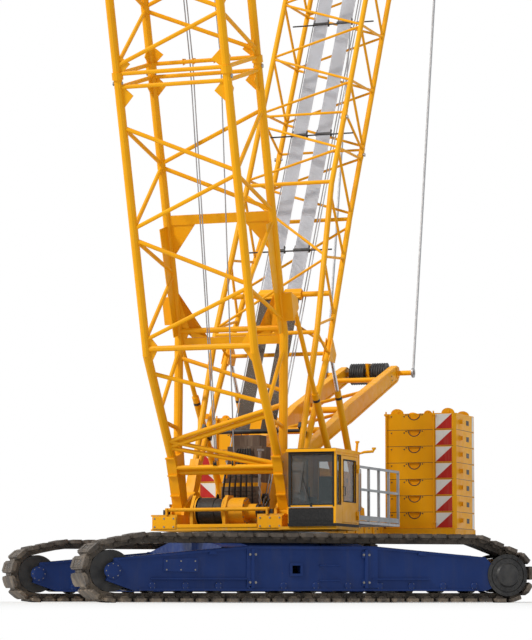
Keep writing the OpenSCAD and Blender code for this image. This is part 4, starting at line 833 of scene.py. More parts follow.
# ---------------------------------------------------------------- counterweights
SX0, SX1, SY0, SY1 = -6.16, -4.56, 1.45, 3.13
SLAB_H = 0.372
slab_z = [DECK_Z + 0.18 + 0.0003 + i * (SLAB_H + 0.0003) for i in range(7)]
wh = Form("slab_stripes_white", WHITE)
rd = Form("slab_stripes_red", RED)
lug = Form("slab_lugs", YELLOW, bevel=0.006)
# Painted shade in sockets and pockets, and small bolts beside the recesses
hole = Form("slab_socket_shade_and_bolts", DARK)
# Dark joints between the slabs, and painted shade round each lifting recess
seam_and_shade = Form("slab_seams_and_recess_shade", DARK)
for s in SIDES:
    for i, z in enumerate(slab_z):
        # Red and white triangles near the outer corner of each front face
        y0, y1 = 2.66, 3.04
        a, b = s * y0, s * y1
        wh.box((SX1 - 0.001, a, z + 0.02), (SX1 + 0.002, b, z + SLAB_H - 0.02))
        tri = [(s * y0, z + 0.02), (s * y1, z + 0.02), (s * y1, z + SLAB_H - 0.02)]
        rd.add([(SX1 + 0.002, q[0], q[1]) for q in tri] + [(SX1 + 0.004, q[0], q[1]) for q in tri],
               [(0, 1, 2), (5, 4, 3), (0, 3, 4, 1), (1, 4, 5, 2), (2, 5, 3, 0)])
        # White stripe at the outer rear corner
        a, b = s * SY1, s * (SY1 + 0.002)
        wh.box((SX0 + 0.10, a, z + 0.02), (SX0 + 0.24, b, z + SLAB_H - 0.02))
        # Painted shade: dark discs in the lashing sockets on the front face, dark patches in the lifting pockets on the
        # outer one
        for y in (1.62, 1.92):
            hole.tube((SX1 - 0.002, s * y, z + SLAB_H * 0.82), (SX1 + 0.003, s * y, z + SLAB_H * 0.82), 0.026, 3)
        hole.box((SX0 + 0.5, s * SY1, z + 0.13), (SX0 + 0.72, s * (SY1 + 0.003), z + 0.24))
        lo_, hi_ = s * (SY0 + 0.06), s * (SY1 - 0.06)
        seam_and_shade.box((SX1 - 0.004, lo_, z - 0.005), (SX1 + 0.0012, hi_, z + 0.005))
        seam_and_shade.box((SX0 - 0.0012, lo_, z - 0.005), (SX0 + 0.004, hi_, z + 0.005))
        lo_, hi_ = s * (SY1 - 0.004), s * (SY1 + 0.0012)
        seam_and_shade.box((SX0 + 0.06, lo_, z - 0.005), (SX1 - 0.06, hi_, z + 0.005))
        # Painted shade of the half-round lifting recess: a dark half ring on its rim, with a bolt each side
        yc, ztop = s * (SY0 + (SY1 - SY0) * 0.42), z + SLAB_H
        arc = [(yc + 0.135 * math.cos(rad(k)), ztop + 0.135 * math.sin(rad(k))) for k in range(180, 361, 12)]
        arc += [(yc + 0.155 * math.cos(rad(k)), ztop + 0.155 * math.sin(rad(k))) for k in range(360, 179, -12)]
        half = len(arc) // 2
        for k in range(half - 1):
            q = [arc[k], arc[k + 1], arc[2 * half - 2 - k], arc[2 * half - 1 - k]]
            seam_and_shade.add([(SX1 - 0.001, a, b) for a, b in q] + [(SX1 + 0.003, a, b) for a, b in q],
                     [(0, 1, 2, 3), (7, 6, 5, 4), (0, 4, 5, 1), (1, 5, 6, 2), (2, 6, 7, 3), (3, 7, 4, 0)])
        for e in (-0.19, 0.19):
            hole.tube((SX1 - 0.002, yc + e, ztop - 0.03), (SX1 + 0.004, yc + e, ztop - 0.03), 0.016, 12)
        # Cast bollards that stand out of the outer face
        lug.cap([(0.0, 0.0), (0.07, 0.0), (0.05, s * 0.02), (0.05, s * 0.07), (0.075, s * 0.085), (0.0, s * 0.085)],
                 (SX1 - 0.35, s * SY1, z + SLAB_H / 2), 20)
    top = slab_z[-1] + SLAB_H
    keep = lug.m
    for y in (1.72, 2.45, 2.92):
        for x in (SX0 + 0.25, SX1 - 0.12):
            lug.m = Matrix.Translation((x, s * y, top)) @ Matrix.Rotation(rad(90), 4, "Z")
            r = 0.15 if y != 2.45 else 0.09
            lug.plate([(r * math.cos(rad(k)), r * 0.8 * math.sin(rad(k))) for k in range(0, 181, 15)], -0.03, 0.06)
            lug.tube((0.0, -0.045, r * 0.35), (0.0, 0.045, r * 0.35), r * 0.35, 20)
    lug.m = keep
    # Tie rods down the front
    for y in (1.50, 2.62):
        lug.tube((SX1 + 0.03, s * y, DECK_Z + 0.19), (SX1 + 0.03, s * y, top + 0.05), 0.018, 10)
        for z in (DECK_Z + 0.30, top - 0.05):
            lug.box((SX1 - 0.001, s * y - 0.04, z), (SX1 + 0.06, s * y + 0.04, z + 0.05))
for f in (wh, rd, lug, hole, seam_and_shade):
    f.done()

# ---------------------------------------------------------------- cab
CX0, CX1, CY0, CY1 = 1.12, 2.62, 1.64, 2.66
CZ0 = DECK_Z + 0.06
CZ1 = CZ0 + 1.56
WIN = CZ0 + 0.44
seal = Form("cab_seals", RUBBER, bevel=0.002)


def window_frame(form, axis, at, a0, a1, z0, z1):
    """Rubber strip round a window on the face at the given place."""
    t, proud = 0.02, 0.008
    for lo_, hi_ in (((a0, z0), (a1, z0 + t)), ((a0, z1 - t), (a1, z1)), ((a0, z0 + t), (a0 + t, z1 - t)),
                     ((a1 - t, z0 + t), (a1, z1 - t))):
        if axis == "X":
            form.box((at - proud, lo_[0], lo_[1]), (at + proud, hi_[0], hi_[1]))
        else:
            form.box((lo_[0], at - proud, lo_[1]), (hi_[0], at + proud, hi_[1]))


window_frame(seal, "X", CX1, CY0 + 0.055, CY1 - 0.055, WIN - 0.015, CZ1 - 0.105)
window_frame(seal, "X", CX0, CY0 + 0.145, CY1 - 0.145, WIN + 0.105, CZ1 - 0.165)
window_frame(seal, "Y", CY0, CX0 + 0.285, CX1 - 0.085, WIN - 0.015, CZ1 - 0.125)
window_frame(seal, "Y", CY1, CX1 - 0.335, CX1 - 0.075, WIN - 0.005, CZ1 - 0.115)
seal.done()
quarter = Form("quarter_glass", GLASS, bevel=0.001)
quarter.box((CX1 - 0.326, CY1 - 0.030, WIN + 0.004), (CX1 - 0.084, CY1 - 0.022, CZ1 - 0.124))
quarter.done()
trimc = Form("cab_trim", RUBBER, bevel=0.004)
# Dark panels round the windscreen, ribs on the lower one, wiper
for y0, y1, z0, z1 in ((CY0 + 0.012, CY1 - 0.05, CZ0 + 0.03, WIN - 0.075),
                       (CY0 + 0.006, CY0 + 0.058, WIN - 0.045, CZ1 - 0.012),
                       (CY1 - 0.062, CY1 - 0.030, WIN - 0.045, CZ1 - 0.012),
                       (CY0 + 0.058, CY1 - 0.062, CZ1 - 0.102, CZ1 - 0.012)):
    trimc.box((CX1, y0, z0), (CX1 + 0.006, y1, z1))
for k in range(3):
    z = CZ0 + 0.06 + k * 0.03
    trimc.box((CX1 + 0.006, CY0 + 0.06, z), (CX1 + 0.010, CY1 - 0.10, z + 0.012))
trimc.box((CX1 - 0.03, CY0 + 0.006, CZ1 - 0.011), (CX1 + 0.014, CY1 - 0.02, CZ1 + 0.012))
trimc.tube((CX1 + 0.012, CY0 + 0.5, WIN - 0.03), (CX1 + 0.02, CY0 + 0.32, WIN + 0.55), 0.007, 8)
trimc.tube((CX1 + 0.016, CY0 + 0.28, WIN + 0.25), (CX1 + 0.016, CY0 + 0.36, WIN + 0.85), 0.006, 8)
trimc.tube((CX1, CY0 + 0.5, WIN - 0.03), (CX1 + 0.03, CY0 + 0.5, WIN - 0.03), 0.02, 12)
trimc.done()


def handle_on(form, x, z0, z1, out, r):
    """An upright handle on the cab's outer side."""
    form.run([(x, CY1, z0), (x, CY1 + out, z0 + 0.01), (x, CY1 + out, z1 - 0.01), (x, CY1, z1)], r, 8)


grab = Form("cab_rails", RAIL, smooth=True)
handle_on(grab, CX0 + 0.04, CZ0 + 0.35, CZ0 + 1.21, 0.06, 0.012)
# Bar along the windscreen's lower edge, gutters of the roof
grab.tube((CX1 + 0.02, CY0 + 0.04, WIN - 0.06), (CX1 + 0.02, CY1 - 0.07, WIN - 0.06), 0.009, 8)
for y in (CY0 + 0.05, CY1 - 0.08):
    grab.tube((CX1, y, WIN - 0.06), (CX1 + 0.025, y, WIN - 0.06), 0.008, 8)
grab.done()
roof = Form("cab_roof_trim", YELLOW, bevel=0.004)
for y in (CY0 + 0.03, CY1 - 0.05):
    roof.box((CX0 + 0.04, y, CZ1 - 0.001), (CX1 - 0.06, y + 0.02, CZ1 + 0.018))
roof.box((CX0 + 0.3, CY0 + 0.25, CZ1 - 0.001), (CX0 + 0.9, CY1 - 0.25, CZ1 + 0.03))
roof.done()
# Folded arms at the rear of the cab's roof, with upturned ends
arms = Form("stowed_arms", YELLOW, smooth=True)
for y0, y1, top_z in ((CY1 - 0.16, CY1 - 0.06, CZ1 + 0.20), (CY1 - 0.02, CY1 + 0.30, CZ1 + 0.06)):
    arms.run([(CX0 - 0.05, y0, CZ1 - 0.35), (CX0 - 0.05, y0, CZ1 - 0.04), (CX0 - 0.05, y0 + (y1 - y0) * 0.4, CZ1),
              (CX0 - 0.05, y1, CZ1 + 0.01), (CX0 - 0.05, y1 + 0.02, top_z)], 0.028, 10)
    arms.tube((CX0 - 0.05, y1 + 0.02, top_z - 0.01), (CX0 - 0.05, y1 + 0.02, top_z + 0.03), 0.045, 14)
    arms.tube((CX0 - 0.05, y0, CZ1 - 0.30), (CX0 + 0.01, y0, CZ1 - 0.30), 0.03, 12)
arms.done()
handle = Form("door_handle", DARK, "door", smooth=True)
DX1 = 2.62 - 0.42
handle_on(handle, DX1 - 0.05, CZ0 + 0.62, CZ0 + 0.81, 0.05, 0.009)
handle.done()
dseal = Form("door_seal", RUBBER, "door", bevel=0.002)
window_frame(dseal, "Y", CY1, CX0 + 0.12 + 0.07, DX1 - 0.07, CZ0 + 0.09 + 0.41, CZ1 - 0.19)
dseal.done()
pane = Form("door_glass", GLASS, "door")
pane.box((CX0 + 0.12 + 0.075, CY1 - 0.030, CZ0 + 0.09 + 0.415), (DX1 - 0.075, CY1 - 0.022, CZ1 - 0.195))
pane.done()


def cushion(lo, hi, crown):
    """A crowned pad: a subdivided box whose middle is swollen on its top face."""
    n = 9
    lo, hi = Vector(lo), Vector(hi)
    vs, fs = [], []
    idx = {}

    def vert(i, j, k):
        key = (i, j, k)
        if key not in idx:
            u, v, w = i / (n - 1), j / (n - 1), k / 3
            c = Vector((lo[0] + (hi[0] - lo[0]) * u, lo[1] + (hi[1] - lo[1]) * v, lo[2] + (hi[2] - lo[2]) * w))
            bulge = (1 - (2 * u - 1) ** 4) * (1 - (2 * v - 1) ** 4)
            if k == 3:
                c.z -= crown * (1 - bulge)
            idx[key] = len(vs)
            vs.append(tuple(c))
        return idx[key]

    for i in range(n - 1):
        for j in range(n - 1):
            fs.append((vert(i, j, 3), vert(i + 1, j, 3), vert(i + 1, j + 1, 3), vert(i, j + 1, 3)))
            fs.append((vert(i, j, 0), vert(i, j + 1, 0), vert(i + 1, j + 1, 0), vert(i + 1, j, 0)))
    for k in range(3):
        for i in range(n - 1):
            fs.append((vert(i, 0, k), vert(i + 1, 0, k), vert(i + 1, 0, k + 1), vert(i, 0, k + 1)))
            fs.append((vert(i + 1, n - 1, k), vert(i, n - 1, k), vert(i, n - 1, k + 1), vert(i + 1, n - 1, k + 1)))
            fs.append((vert(0, i + 1, k), vert(0, i, k), vert(0, i, k + 1), vert(0, i + 1, k + 1)))
            fs.append((vert(n - 1, i, k), vert(n - 1, i + 1, k), vert(n - 1, i + 1, k + 1), vert(n - 1, i, k + 1)))
    return vs, fs


PAD_REACH = 0.010


def filled(name, vs, fs, place, channels):
    """Voxel remesh, 20 frames of cloth under pressure, no point further than PAD_REACH, then sewn channels."""
    me = bpy.data.meshes.new(name)
    me.from_pydata([tuple(p) for p in vs], [], fs)
    bm = bmesh.new()
    bm.from_mesh(me)
    bmesh.ops.recalc_face_normals(bm, faces=bm.faces[:])
    bm.to_mesh(me)
    bm.free()
    o = bpy.data.objects.new(name, me)
    scene = bpy.context.scene
    scene.collection.objects.link(o)
    grid = o.modifiers.new("grid", "REMESH")
    grid.mode = "VOXEL"
    grid.voxel_size = 0.010
    even = o.modifiers.new("even", "SMOOTH")
    even.factor = 0.5
    even.iterations = 6
    start = bpy.data.meshes.new_from_object(o.evaluated_get(bpy.context.evaluated_depsgraph_get()))
    o.modifiers.clear()
    o.data = start
    first = [v.co.copy() for v in start.vertices]
    cloth = o.modifiers.new("fill", "CLOTH")
    cloth.settings.quality = 4
    cloth.settings.mass = 0.25
    cloth.settings.use_pressure = True
    cloth.settings.uniform_pressure_force = 4.0
    cloth.settings.effector_weights.gravity = 0.0
    for f in range(1, 21):
        scene.frame_set(f)
    full = bpy.data.meshes.new_from_object(o.evaluated_get(bpy.context.evaluated_depsgraph_get()))
    out = []
    for a, v in zip(first, full.vertices):
        d = v.co - a
        if d.length > PAD_REACH:
            d *= PAD_REACH / d.length
        q = a + d
        if v.normal.z > 0.4:
            for c in channels:
                q.z -= 0.007 * math.exp(-((q.y - c) / 0.009) ** 2)
        out.append(place @ q)
    faces = [tuple(f.vertices) for f in full.polygons]
    bpy.data.objects.remove(o)
    scene.frame_set(1)
    return [tuple(q) for q in out], faces


slo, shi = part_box("cab_seat")
seat = Form("seat_pads", FABRIC, smooth=True)
sy0, sy1 = slo[1] + 0.01, shi[1] - 0.01
wide = sy1 - sy0
deep = shi[0] - slo[0] - 0.125
height = min(0.60, shi[2] - slo[2] - 0.46)
lines = [wide * k for k in (0.2, 0.4, 0.6, 0.8)]
lap = Matrix.Translation((slo[0] + 0.12, sy0, slo[2] + 0.36))
lean = Matrix.Translation((slo[0] + 0.17, sy0, slo[2] + 0.45)) @ Matrix.Rotation(rad(-97), 4, "Y")
lean = lean @ Matrix.Scale(-1, 4, (0, 0, 1))
for tag, size, t, place in (("lap", deep, 0.11, lap), ("back", height, 0.10, lean)):
    vs, fs = cushion((0.010, 0.010, 0.008), (size - 0.010, wide - 0.010, t - 0.008), 0.035)
    vs, fs = filled("pad_" + tag, vs, fs, place, lines)
    seat.add(vs, fs)
seat_obj = seat.done("cab_seat")
stand = Form("seat_stand", DARK, bevel=0.006)
cy = (sy0 + sy1) / 2
stand.box((slo[0] + 0.18, cy - 0.16, slo[2] + 0.001), (shi[0] - 0.08, cy + 0.16, slo[2] + 0.05))
stand.box((slo[0] + 0.24, cy - 0.09, slo[2] + 0.05), (shi[0] - 0.16, cy + 0.09, slo[2] + 0.30))
stand.box((slo[0] + 0.14, cy - 0.19, slo[2] + 0.30), (shi[0] - 0.03, cy + 0.19, slo[2] + 0.36))
for s in SIDES:
    y = cy + s * (sy1 - sy0) / 2
    stand.box((slo[0] + 0.2, y - 0.03 + s * 0.05, slo[2] + 0.34), (shi[0] + 0.05, y + 0.03 + s * 0.05, slo[2] + 0.56))
    stand.tube((shi[0], y + s * 0.05, slo[2] + 0.56), (shi[0] + 0.02, y + s * 0.05, slo[2] + 0.70), 0.012, 8)
    stand.tube((shi[0] + 0.02, y + s * 0.05, slo[2] + 0.70), (shi[0] + 0.02, y + s * 0.05, slo[2] + 0.76), 0.022, 12)
stand.done()

# ---------------------------------------------------------------- boom
def lugs(form, pin, places, z, r, w):
    """A fork and eye joint on each chord at a section's end."""
    for x, y in places:
        s = 1 if y > 0 else -1
        for e in (-w, w):
            form.rect(x - r, x + r, z - 0.16, z + 0.16, y + e - 0.012, 0.024)
        pin.tube((x, y - w - 0.045, z - 0.07), (x, y + w + 0.045, z - 0.07), 0.032, 14)
        pin.tube((x, y + s * (w + 0.045), z - 0.07), (x, y + s * (w + 0.06), z - 0.07), 0.045, 14)


corners = corners_of(BOOM_D, BOOM_W)
fork = Form("boom_joint_lugs", YELLOW, "boom", BOOM, bevel=0.005)
fpin = Form("boom_joint_pins", STEEL, "boom", BOOM)
for z in JOINTS:
    lugs(fork, fpin, corners, z, 0.075, 0.05)
fork.done()
fpin.done()

# Gussets at the first joint and along the chords, portal plates
gus = Form("boom_gussets", YELLOW, "boom", BOOM, bevel=0.004)
for z, h in ((JOINTS[0] - 0.34, 0.26), (JOINTS[0] + 0.30, 0.22), (JOINTS[1] - 0.30, 0.24), (JOINTS[2] - 0.30, 0.24)):
    for x in SIDES:
        for y in SIDES:
            px, py = x * BOOM_D / 2, y * BOOM_W / 2
            keep = gus.m
            # Triangle in the wide face
            gus.m = BOOM @ Matrix.Translation((px, py, z)) @ Matrix.Rotation(rad(90), 4, "Z")
            k = -1 if y > 0 else 1
            gus.plate([(k * 0.05, -h), (k * 0.05, h), (k * 0.30, 0.0)], -0.012, 0.024)
            gus.m = keep
            gus.plate([(px - x * 0.05, z - h), (px - x * 0.05, z + h), (px - x * 0.30, z)], py - 0.012, 0.024)
for y in SIDES:
    for x in SIDES:
        px, py = x * BOOM_D / 2, y * BOOM_W / 2
        keep = gus.m
        gus.m = BOOM @ Matrix.Translation((px, py, 0)) @ Matrix.Rotation(rad(90), 4, "Z")
        k = -1 if y > 0 else 1
        if x < 0:
            gus.plate([(k * 0.05, 5.25), (k * 0.05, 5.96), (k * 0.62, 5.96)], -0.014, 0.028)
            gus.plate([(k * 0.05, 4.60), (k * 0.05, 3.80), (k * 0.62, 3.56), (k * 0.30, 3.56)], -0.014, 0.028)
        gus.plate([(k * 0.05, 3.35), (k * 0.05, 4.05), (k * 0.28, 3.72)], -0.013, 0.026)
        gus.m = keep
        if x < 0:
            gus.plate([(px + 0.05, 3.62), (px + 0.05, 5.95), (px + 0.46, 5.95), (px + 0.40, 4.9), (px + 0.30, 3.62)],
                      py - 0.012, 0.024)
gus.done()

# Reinforcing plates on the box legs, with bolts
leg = Form("boom_leg_plates", YELLOW, "boom", BOOM, bevel=0.006)
legb = Form("boom_leg_bolts", BOLT, "boom", BOOM)
for s in SIDES:
    for e in SIDES:
        y = s * BOOM_W / 2 + e * 0.105
        leg.plate([(-0.12, 0.20), (0.12, 0.20), (0.22, 1.15), (-0.22, 1.15)], y, e * 0.0045)
        if e == s:
            legb.hexes([(q * (0.085 + 0.1 * t), y + e * 0.0045, 0.24 + t * 0.86)
                        for q in SIDES for t in (0.33, 0.66, 1.0)], (0, e, 0), 0.010, 0.008)
    for z in (0.42, 0.86, 1.24):
        leg.box((0.16 + z * 0.08, s * BOOM_W / 2 - 0.105, z - 0.015),
                (0.20 + z * 0.085, s * BOOM_W / 2 + 0.105, z + 0.015))
leg.done()
legb.done()

# Slanting tubes between the foot legs, and plates that carry the fairlead wheels
foot = Form("boom_foot_tubes", YELLOW, "boom", BOOM, smooth=True)


def foot_x(z):
    return 0.165 + (BOOM_D / 2 - 0.165) * (z - 1.19) / 2.4


for z0, z1 in ((1.62, 2.27), (1.62, 1.06), (1.46, 0.98)):
    foot.tube((foot_x(z0) + 0.02, -BOOM_W / 2 + 0.05, z0), (foot_x(z1) + 0.02, BOOM_W / 2 - 0.05, z1), 0.045, 12)
foot.tube((0.20, -BOOM_W / 2 + 0.08, 1.02), (0.20, BOOM_W / 2 - 0.08, 1.02), 0.05, 12)
for y in HOISTS:
    for e in (-0.024, 0.024):
        foot.plate([(0.15, 0.98), (0.25, 0.98), (0.24, 1.15), (0.16, 1.15)], y * 0.6 + e - 0.004, 0.008)
foot.done()

# Hoist ropes along the boom, over guide rollers, to the head
guide = Form("boom_rope_guides", YELLOW, "boom", BOOM, bevel=0.004)
roll = Form("boom_guide_rollers", DARK, "boom", BOOM, smooth=True)
stations = [BASE_LEN + 0.12, BASE_LEN + SECTION / 2, BASE_LEN + SECTION + 0.12, BASE_LEN + SECTION * 1.5,
            HEAD_Z0 + 0.25]
FX = -BOOM_D / 2
for z in stations:
    for y in (-0.34, 0.34):
        for e in (-0.11, 0.11):
            guide.plate([(FX - 0.15, z - 0.05), (FX + 0.03, z - 0.07), (FX + 0.03, z + 0.07), (FX - 0.15, z + 0.05)],
                        y + e - 0.008, 0.016)
        roll.tube((FX - 0.11, y - 0.10, z), (FX - 0.11, y + 0.10, z), 0.032, 16)
    guide.box((FX - 0.02, -0.47, z - 0.03), (FX + 0.03, 0.47, z + 0.03))
    guide.tube((FX, -BOOM_W / 2 + 0.05, z), (FX, BOOM_W / 2 - 0.05, z), 0.030, 10)
for y in HOISTS:
    roll.spin([(0.012, -0.018), (0.058, -0.018), (0.046, 0.0), (0.058, 0.018), (0.012, 0.018)], (0.20, y * 0.6, 1.10),
              n=28)
guide.done()
roll.done()
ropes = Form("hoist_ropes", ROPE, "boom", BOOM, smooth=True)
for y in HOISTS:
    ropes.run([(0.145, y * 0.6, 1.12)] + [(FX - 0.156, y, z) for z in stations] + [(-0.52, y, HEAD_Z1 + 0.5)],
              0.013, 6, lay=0.15)
ropes.done()

# Boom head: rings round the pins, cheek stiffeners, guard bars
hd = Form("boom_head_trim", YELLOW, "boom", BOOM, bevel=0.005)
HPX, HPZ = 1.08, HEAD_Z1 + 0.25
for s in SIDES:
    y = s * 0.53
    hd.rim(0.071, 0.17, 0.0, s * 0.03, (HPX, y, HPZ), 32)
    hd.rim(0.062, 0.12, 0.0, s * 0.022, (-0.38, y, HEAD_Z1 + 0.4), 32)
    hd.plate([(-0.50, HEAD_Z1 + 0.12), (-0.46, HEAD_Z1 + 0.12), (-0.46, HEAD_Z1 + 0.56), (-0.50, HEAD_Z1 + 0.54)], y,
             s * 0.025)
    hd.plate([(-0.2, HEAD_Z1 + 0.62), (HPX, HPZ + 0.16), (HPX, HPZ + 0.12), (-0.2, HEAD_Z1 + 0.57)], y, s * 0.025)
    hd.plate([(0.52, HEAD_Z1 + 0.05), (HPX, HPZ - 0.16), (HPX, HPZ - 0.12), (0.52, HEAD_Z1 + 0.09)], y, s * 0.025)
for x, z in ((0.30, HEAD_Z1 + 0.60), (-0.30, HEAD_Z1 + 0.58)):
    hd.tube((x, -0.48, z), (x, 0.48, z), 0.03, 12)
for x in SIDES:
    hd.box((x * 0.51 - 0.012, -1.24, HEAD_Z1 - 0.05), (x * 0.51 + 0.012, 1.24, HEAD_Z1 - 0.02))
hd.done()
hb = Form("boom_head_bolts", BOLT, "boom", BOOM)
for s in SIDES:
    hb.hexes(circle(HPX, s * 0.56, HPZ, 0.13, range(0, 360, 45)), (0, s, 0), 0.011, 0.012)
hb.done()


def row(middle, first, step, count):
    """Places across the crane, count on each side, from middle + first on."""
    return [s * middle + first + k * step for s in SIDES for k in range(count)]


MAST_STRANDS = row(0.29, -0.155, 0.0278, 12)
STAY_STRANDS, STAY_WHEELS = row(0.565, -0.245, 0.07, 8), row(0.565, -0.236, 0.0675, 8)
LINES = (-0.52, 0.50, 0.56)
HEAD_WHEELS = [i * 0.17 for i in range(-2, 3)]


def sheave_set(name, body, m, centre, r, ys, w, bore, groove=0.035, replaced=()):
    """Grooved pulleys side by side: rim, web, hub."""
    f = Form(name, DARK, body, m, smooth=True)
    for y in ys:
        h = w / 2
        prof = [(bore, -h), (bore + 0.05, -h), (bore + 0.055, -h * 0.45), (r - 0.085, -h * 0.45), (r - 0.075, -h),
                (r, -h * 0.98),
                (r - groove, -h * 0.22), (r - groove, h * 0.22), (r, h * 0.98), (r - 0.075, h), (r - 0.085, h * 0.45),
                (bore + 0.055, h * 0.45), (bore + 0.05, h), (bore, h)]
        f.spin(prof, (centre[0], y, centre[1]), n=56)
    return f.done(*replaced)


sheave_set("head_sheave_wheels", "head_sheaves", BOOM, (HPX, HPZ), 0.4395, HEAD_WHEELS, 0.108, 0.0702,
           replaced=("boom_sheaves",))

# ---------------------------------------------------------------- mast
mcorners = corners_of(MAST_D, MAST_W)
mf = Form("mast_joint_lugs", YELLOW, "mast", MAST, bevel=0.004)
mp = Form("mast_joint_pins", STEEL, "mast", MAST)
for z in (MAST_BASE, MAST_BASE + MAST_SECTION, MAST_BASE + 2 * MAST_SECTION):
    lugs(mf, mp, mcorners, z, 0.055, 0.038)
mf.done()
mp.done()
bundle = Form("mast_rope_falls", ROPE_PALE, "mast", MAST, smooth=True)
KNEE = 3.95
for y in MAST_STRANDS:
    for x, e in ((-0.013, -0.0035), (0.013, 0.0035)):
        bundle.rope((x, y + e, KNEE + 1.36), (x, y + e, MAST_HEAD + 0.695), 0.0131, 2)
bundle.done("mast_falls")
spread = Form("mast_spreaders", DARK, "mast", MAST, bevel=0.004)
for z in (6.35, 9.6, 12.9, 16.3, 19.8, 23.0):
    for s in SIDES:
        spread.box((-0.05, s * 0.29 - 0.19, z), (0.05, s * 0.29 + 0.19, z + 0.06))
        spread.box((-0.03, s * 0.29 - 0.175, z + 0.06), (0.03, s * 0.29 - 0.155, z + 0.16))
        spread.box((-0.03, s * 0.29 + 0.155, z + 0.06), (0.03, s * 0.29 + 0.175, z + 0.16))
    spread.tube((0, -1.0, z + 0.03), (0, 1.0, z + 0.03), 0.018, 8)
spread.done()
mb = Form("mast_end_block", YELLOW, "mast", MAST, bevel=0.006)
for s in SIDES:
    mb.box((-0.06, s * 0.29 - 0.20, KNEE + 1.12), (0.06, s * 0.29 + 0.20, KNEE + 1.36))
    mb.tube((0, s * 0.29 - 0.21, KNEE + 1.24), (0, s * 0.29 + 0.21, KNEE + 1.24), 0.10, 24)
mb.tube((0, -1.14, KNEE + 1.24), (0, 1.14, KNEE + 1.24), 0.06, 16)
mb.done()
# The falls run on to a roller between the mast's legs, brown for grease and for painted shade
LOW_Z = 1.66
low = Form("mast_lower_falls", ROPE_GREASE_AND_SHADE, "mast", MAST, smooth=True)
for y in MAST_STRANDS:
    low.rope((0.0, y, LOW_Z), (0.0, y, KNEE + 1.13), 0.0128, 2)
low.done()
lr = Form("mast_low_roller", DARK, "mast", MAST, smooth=True)
lr.cap([(0.0, -0.50), (0.075, -0.50), (0.075, -0.48), (0.052, -0.47), (0.052, 0.47), (0.075, 0.48), (0.075, 0.50),
        (0.0, 0.50)],
        (0, 0, LOW_Z), 28)
lr.tube((0, -1.10, LOW_Z), (0, 1.10, LOW_Z), 0.035, 16)
for s in SIDES:
    lr.box((-0.24, s * 1.09 - 0.035, LOW_Z - 0.06), (0.24, s * 1.09 + 0.035, LOW_Z + 0.06))
lr.done()
mast_rope = Form("mast_hoist_ropes", ROPE, "mast", MAST, smooth=True)
for y in LINES:
    mast_rope.rope((-0.075, y, 0.135), (-0.075, y, MAST_HEAD + 0.69), 0.013, 2)
mast_rope.done()
fair = Form("mast_foot_fairleads", DARK, smooth=True)
for y in LINES:
    fair.spin([(0.012, -0.02), (0.105, -0.02), (0.085, 0.0), (0.105, 0.02), (0.012, 0.02)], (0.88, y, 2.16), n=36)
for y in (-0.55, -0.49, 0.465, 0.595):
    fair.plate([(0.78, DECK_TOP), (0.98, DECK_TOP), (0.93, 2.22), (0.83, 2.22)], y - 0.005, 0.01)
fair.done()
mh = Form("mast_head_trim", YELLOW, "mast", MAST, bevel=0.004)
for s in SIDES:
    for y in (0.98, 0.20):
        mh.rim(0.062, 0.12, -0.03, 0.03, (0, s * y, MAST_PIN))
mh.done()

# ---------------------------------------------------------------- boom stays
H_AT, M_AT = Vector((11.0687676, 35.5574933)), Vector((-12.5285906, 26.8555518))
stay_ang = math.degrees(math.atan2(M_AT.y - H_AT.y, M_AT.x - H_AT.x))
STAY = Matrix.Translation((M_AT.x, 0, M_AT.y)) @ Matrix.Rotation(rad(-90 - stay_ang), 4, "Y")
BLOCK = 7.55
sb = Form("stay_rope_falls", ROPE, "boom_stay", STAY, smooth=True)
for y in STAY_STRANDS:
    for x in (-0.32, 0.32):
        sb.rope((x, y, 0.0), (x, y, BLOCK), 0.0145, 1)
sb.done("stay_falls")
sheave_set("stay_wheels", "boom_stay", STAY, (0.0, 0.0), 0.2995, STAY_WHEELS, 0.062, 0.0602, 0.02,
           replaced=("stay_sheaves",))
sheave_set("stay_block_wheels", "boom_stay", STAY, (0.0, BLOCK), 0.2995, STAY_WHEELS, 0.062, 0.0552, 0.02)
sbt = Form("stay_block_trim", YELLOW, "boom_stay", STAY, bevel=0.004)
for s in SIDES:
    for y in (0.89, 0.24):
        sbt.rim(0.056, 0.11, -0.028, 0.028, (0, s * y, BLOCK))
sbt.done()
bar_caps = Form("pendant_pin_caps", STEEL, "pendants", bevel=0.003)
for s in SIDES:
    bar_caps.rim(0.061, 0.115, 0.0, s * 0.012, (H_AT.x, s * 1.34, H_AT.y))
bar_caps.done()

# ---------------------------------------------------------------- A-frame
af = Form("a_frame_flanges", YELLOW, "back_frame", BACK, bevel=0.006)
afb = Form("a_frame_bolts", BOLT, "back_frame", BACK)
for s in SIDES:
    y = s * 0.63
    for e in SIDES:
        yy = y + e * 0.075
        for w, line in ((-0.04, ((0.13, 0.3), (0.17, 3.4), (0.25, 4.2), (0.19, 8.0))),
                        (0.04, ((-0.13, 0.3), (-0.15, 3.4), (-0.19, 4.2), (-0.19, 8.0)))):
            for p, q in zip(line, line[1:]):
                af.plate([p, q, (q[0] + w, q[1]), (p[0] + w, p[1])], yy, e * 0.02)
        if e == s:
            afb.hexes([(x, yy, z) for x in (-0.05, 0.05) for z in (0.5, 7.6)], (0, e, 0), 0.013, 0.014)
# Cross braces between the arms
af.tube((0, -0.555, 3.0), (0, 0.555, 4.6), 0.04, 12)
af.tube((0, -0.555, 5.2), (0, 0.555, 6.6), 0.04, 12)
af.tube((0.12, -0.6, 7.0), (0.12, 0.6, 7.0), 0.06, 14)
af.done()
afb.done()
sheave_set("a_frame_wheels", "back_frame", BACK, (0.0, 8.1), 0.2595, row(0.27, -0.15, 0.06, 6), 0.055, 0.0602, 0.018,
           replaced=("a_frame_sheaves",))
top = Form("a_frame_head_plate", YELLOW, "back_frame", BACK, bevel=0.005)
top.plate([(-0.30, 7.95), (0.30, 7.95), (0.20, 8.3), (-0.20, 8.3)], -0.035, 0.07)
for s in SIDES:
    top.rim(0.061, 0.13, 0.0, s * 0.02, (0, s * 0.705, 8.1))
top.done()

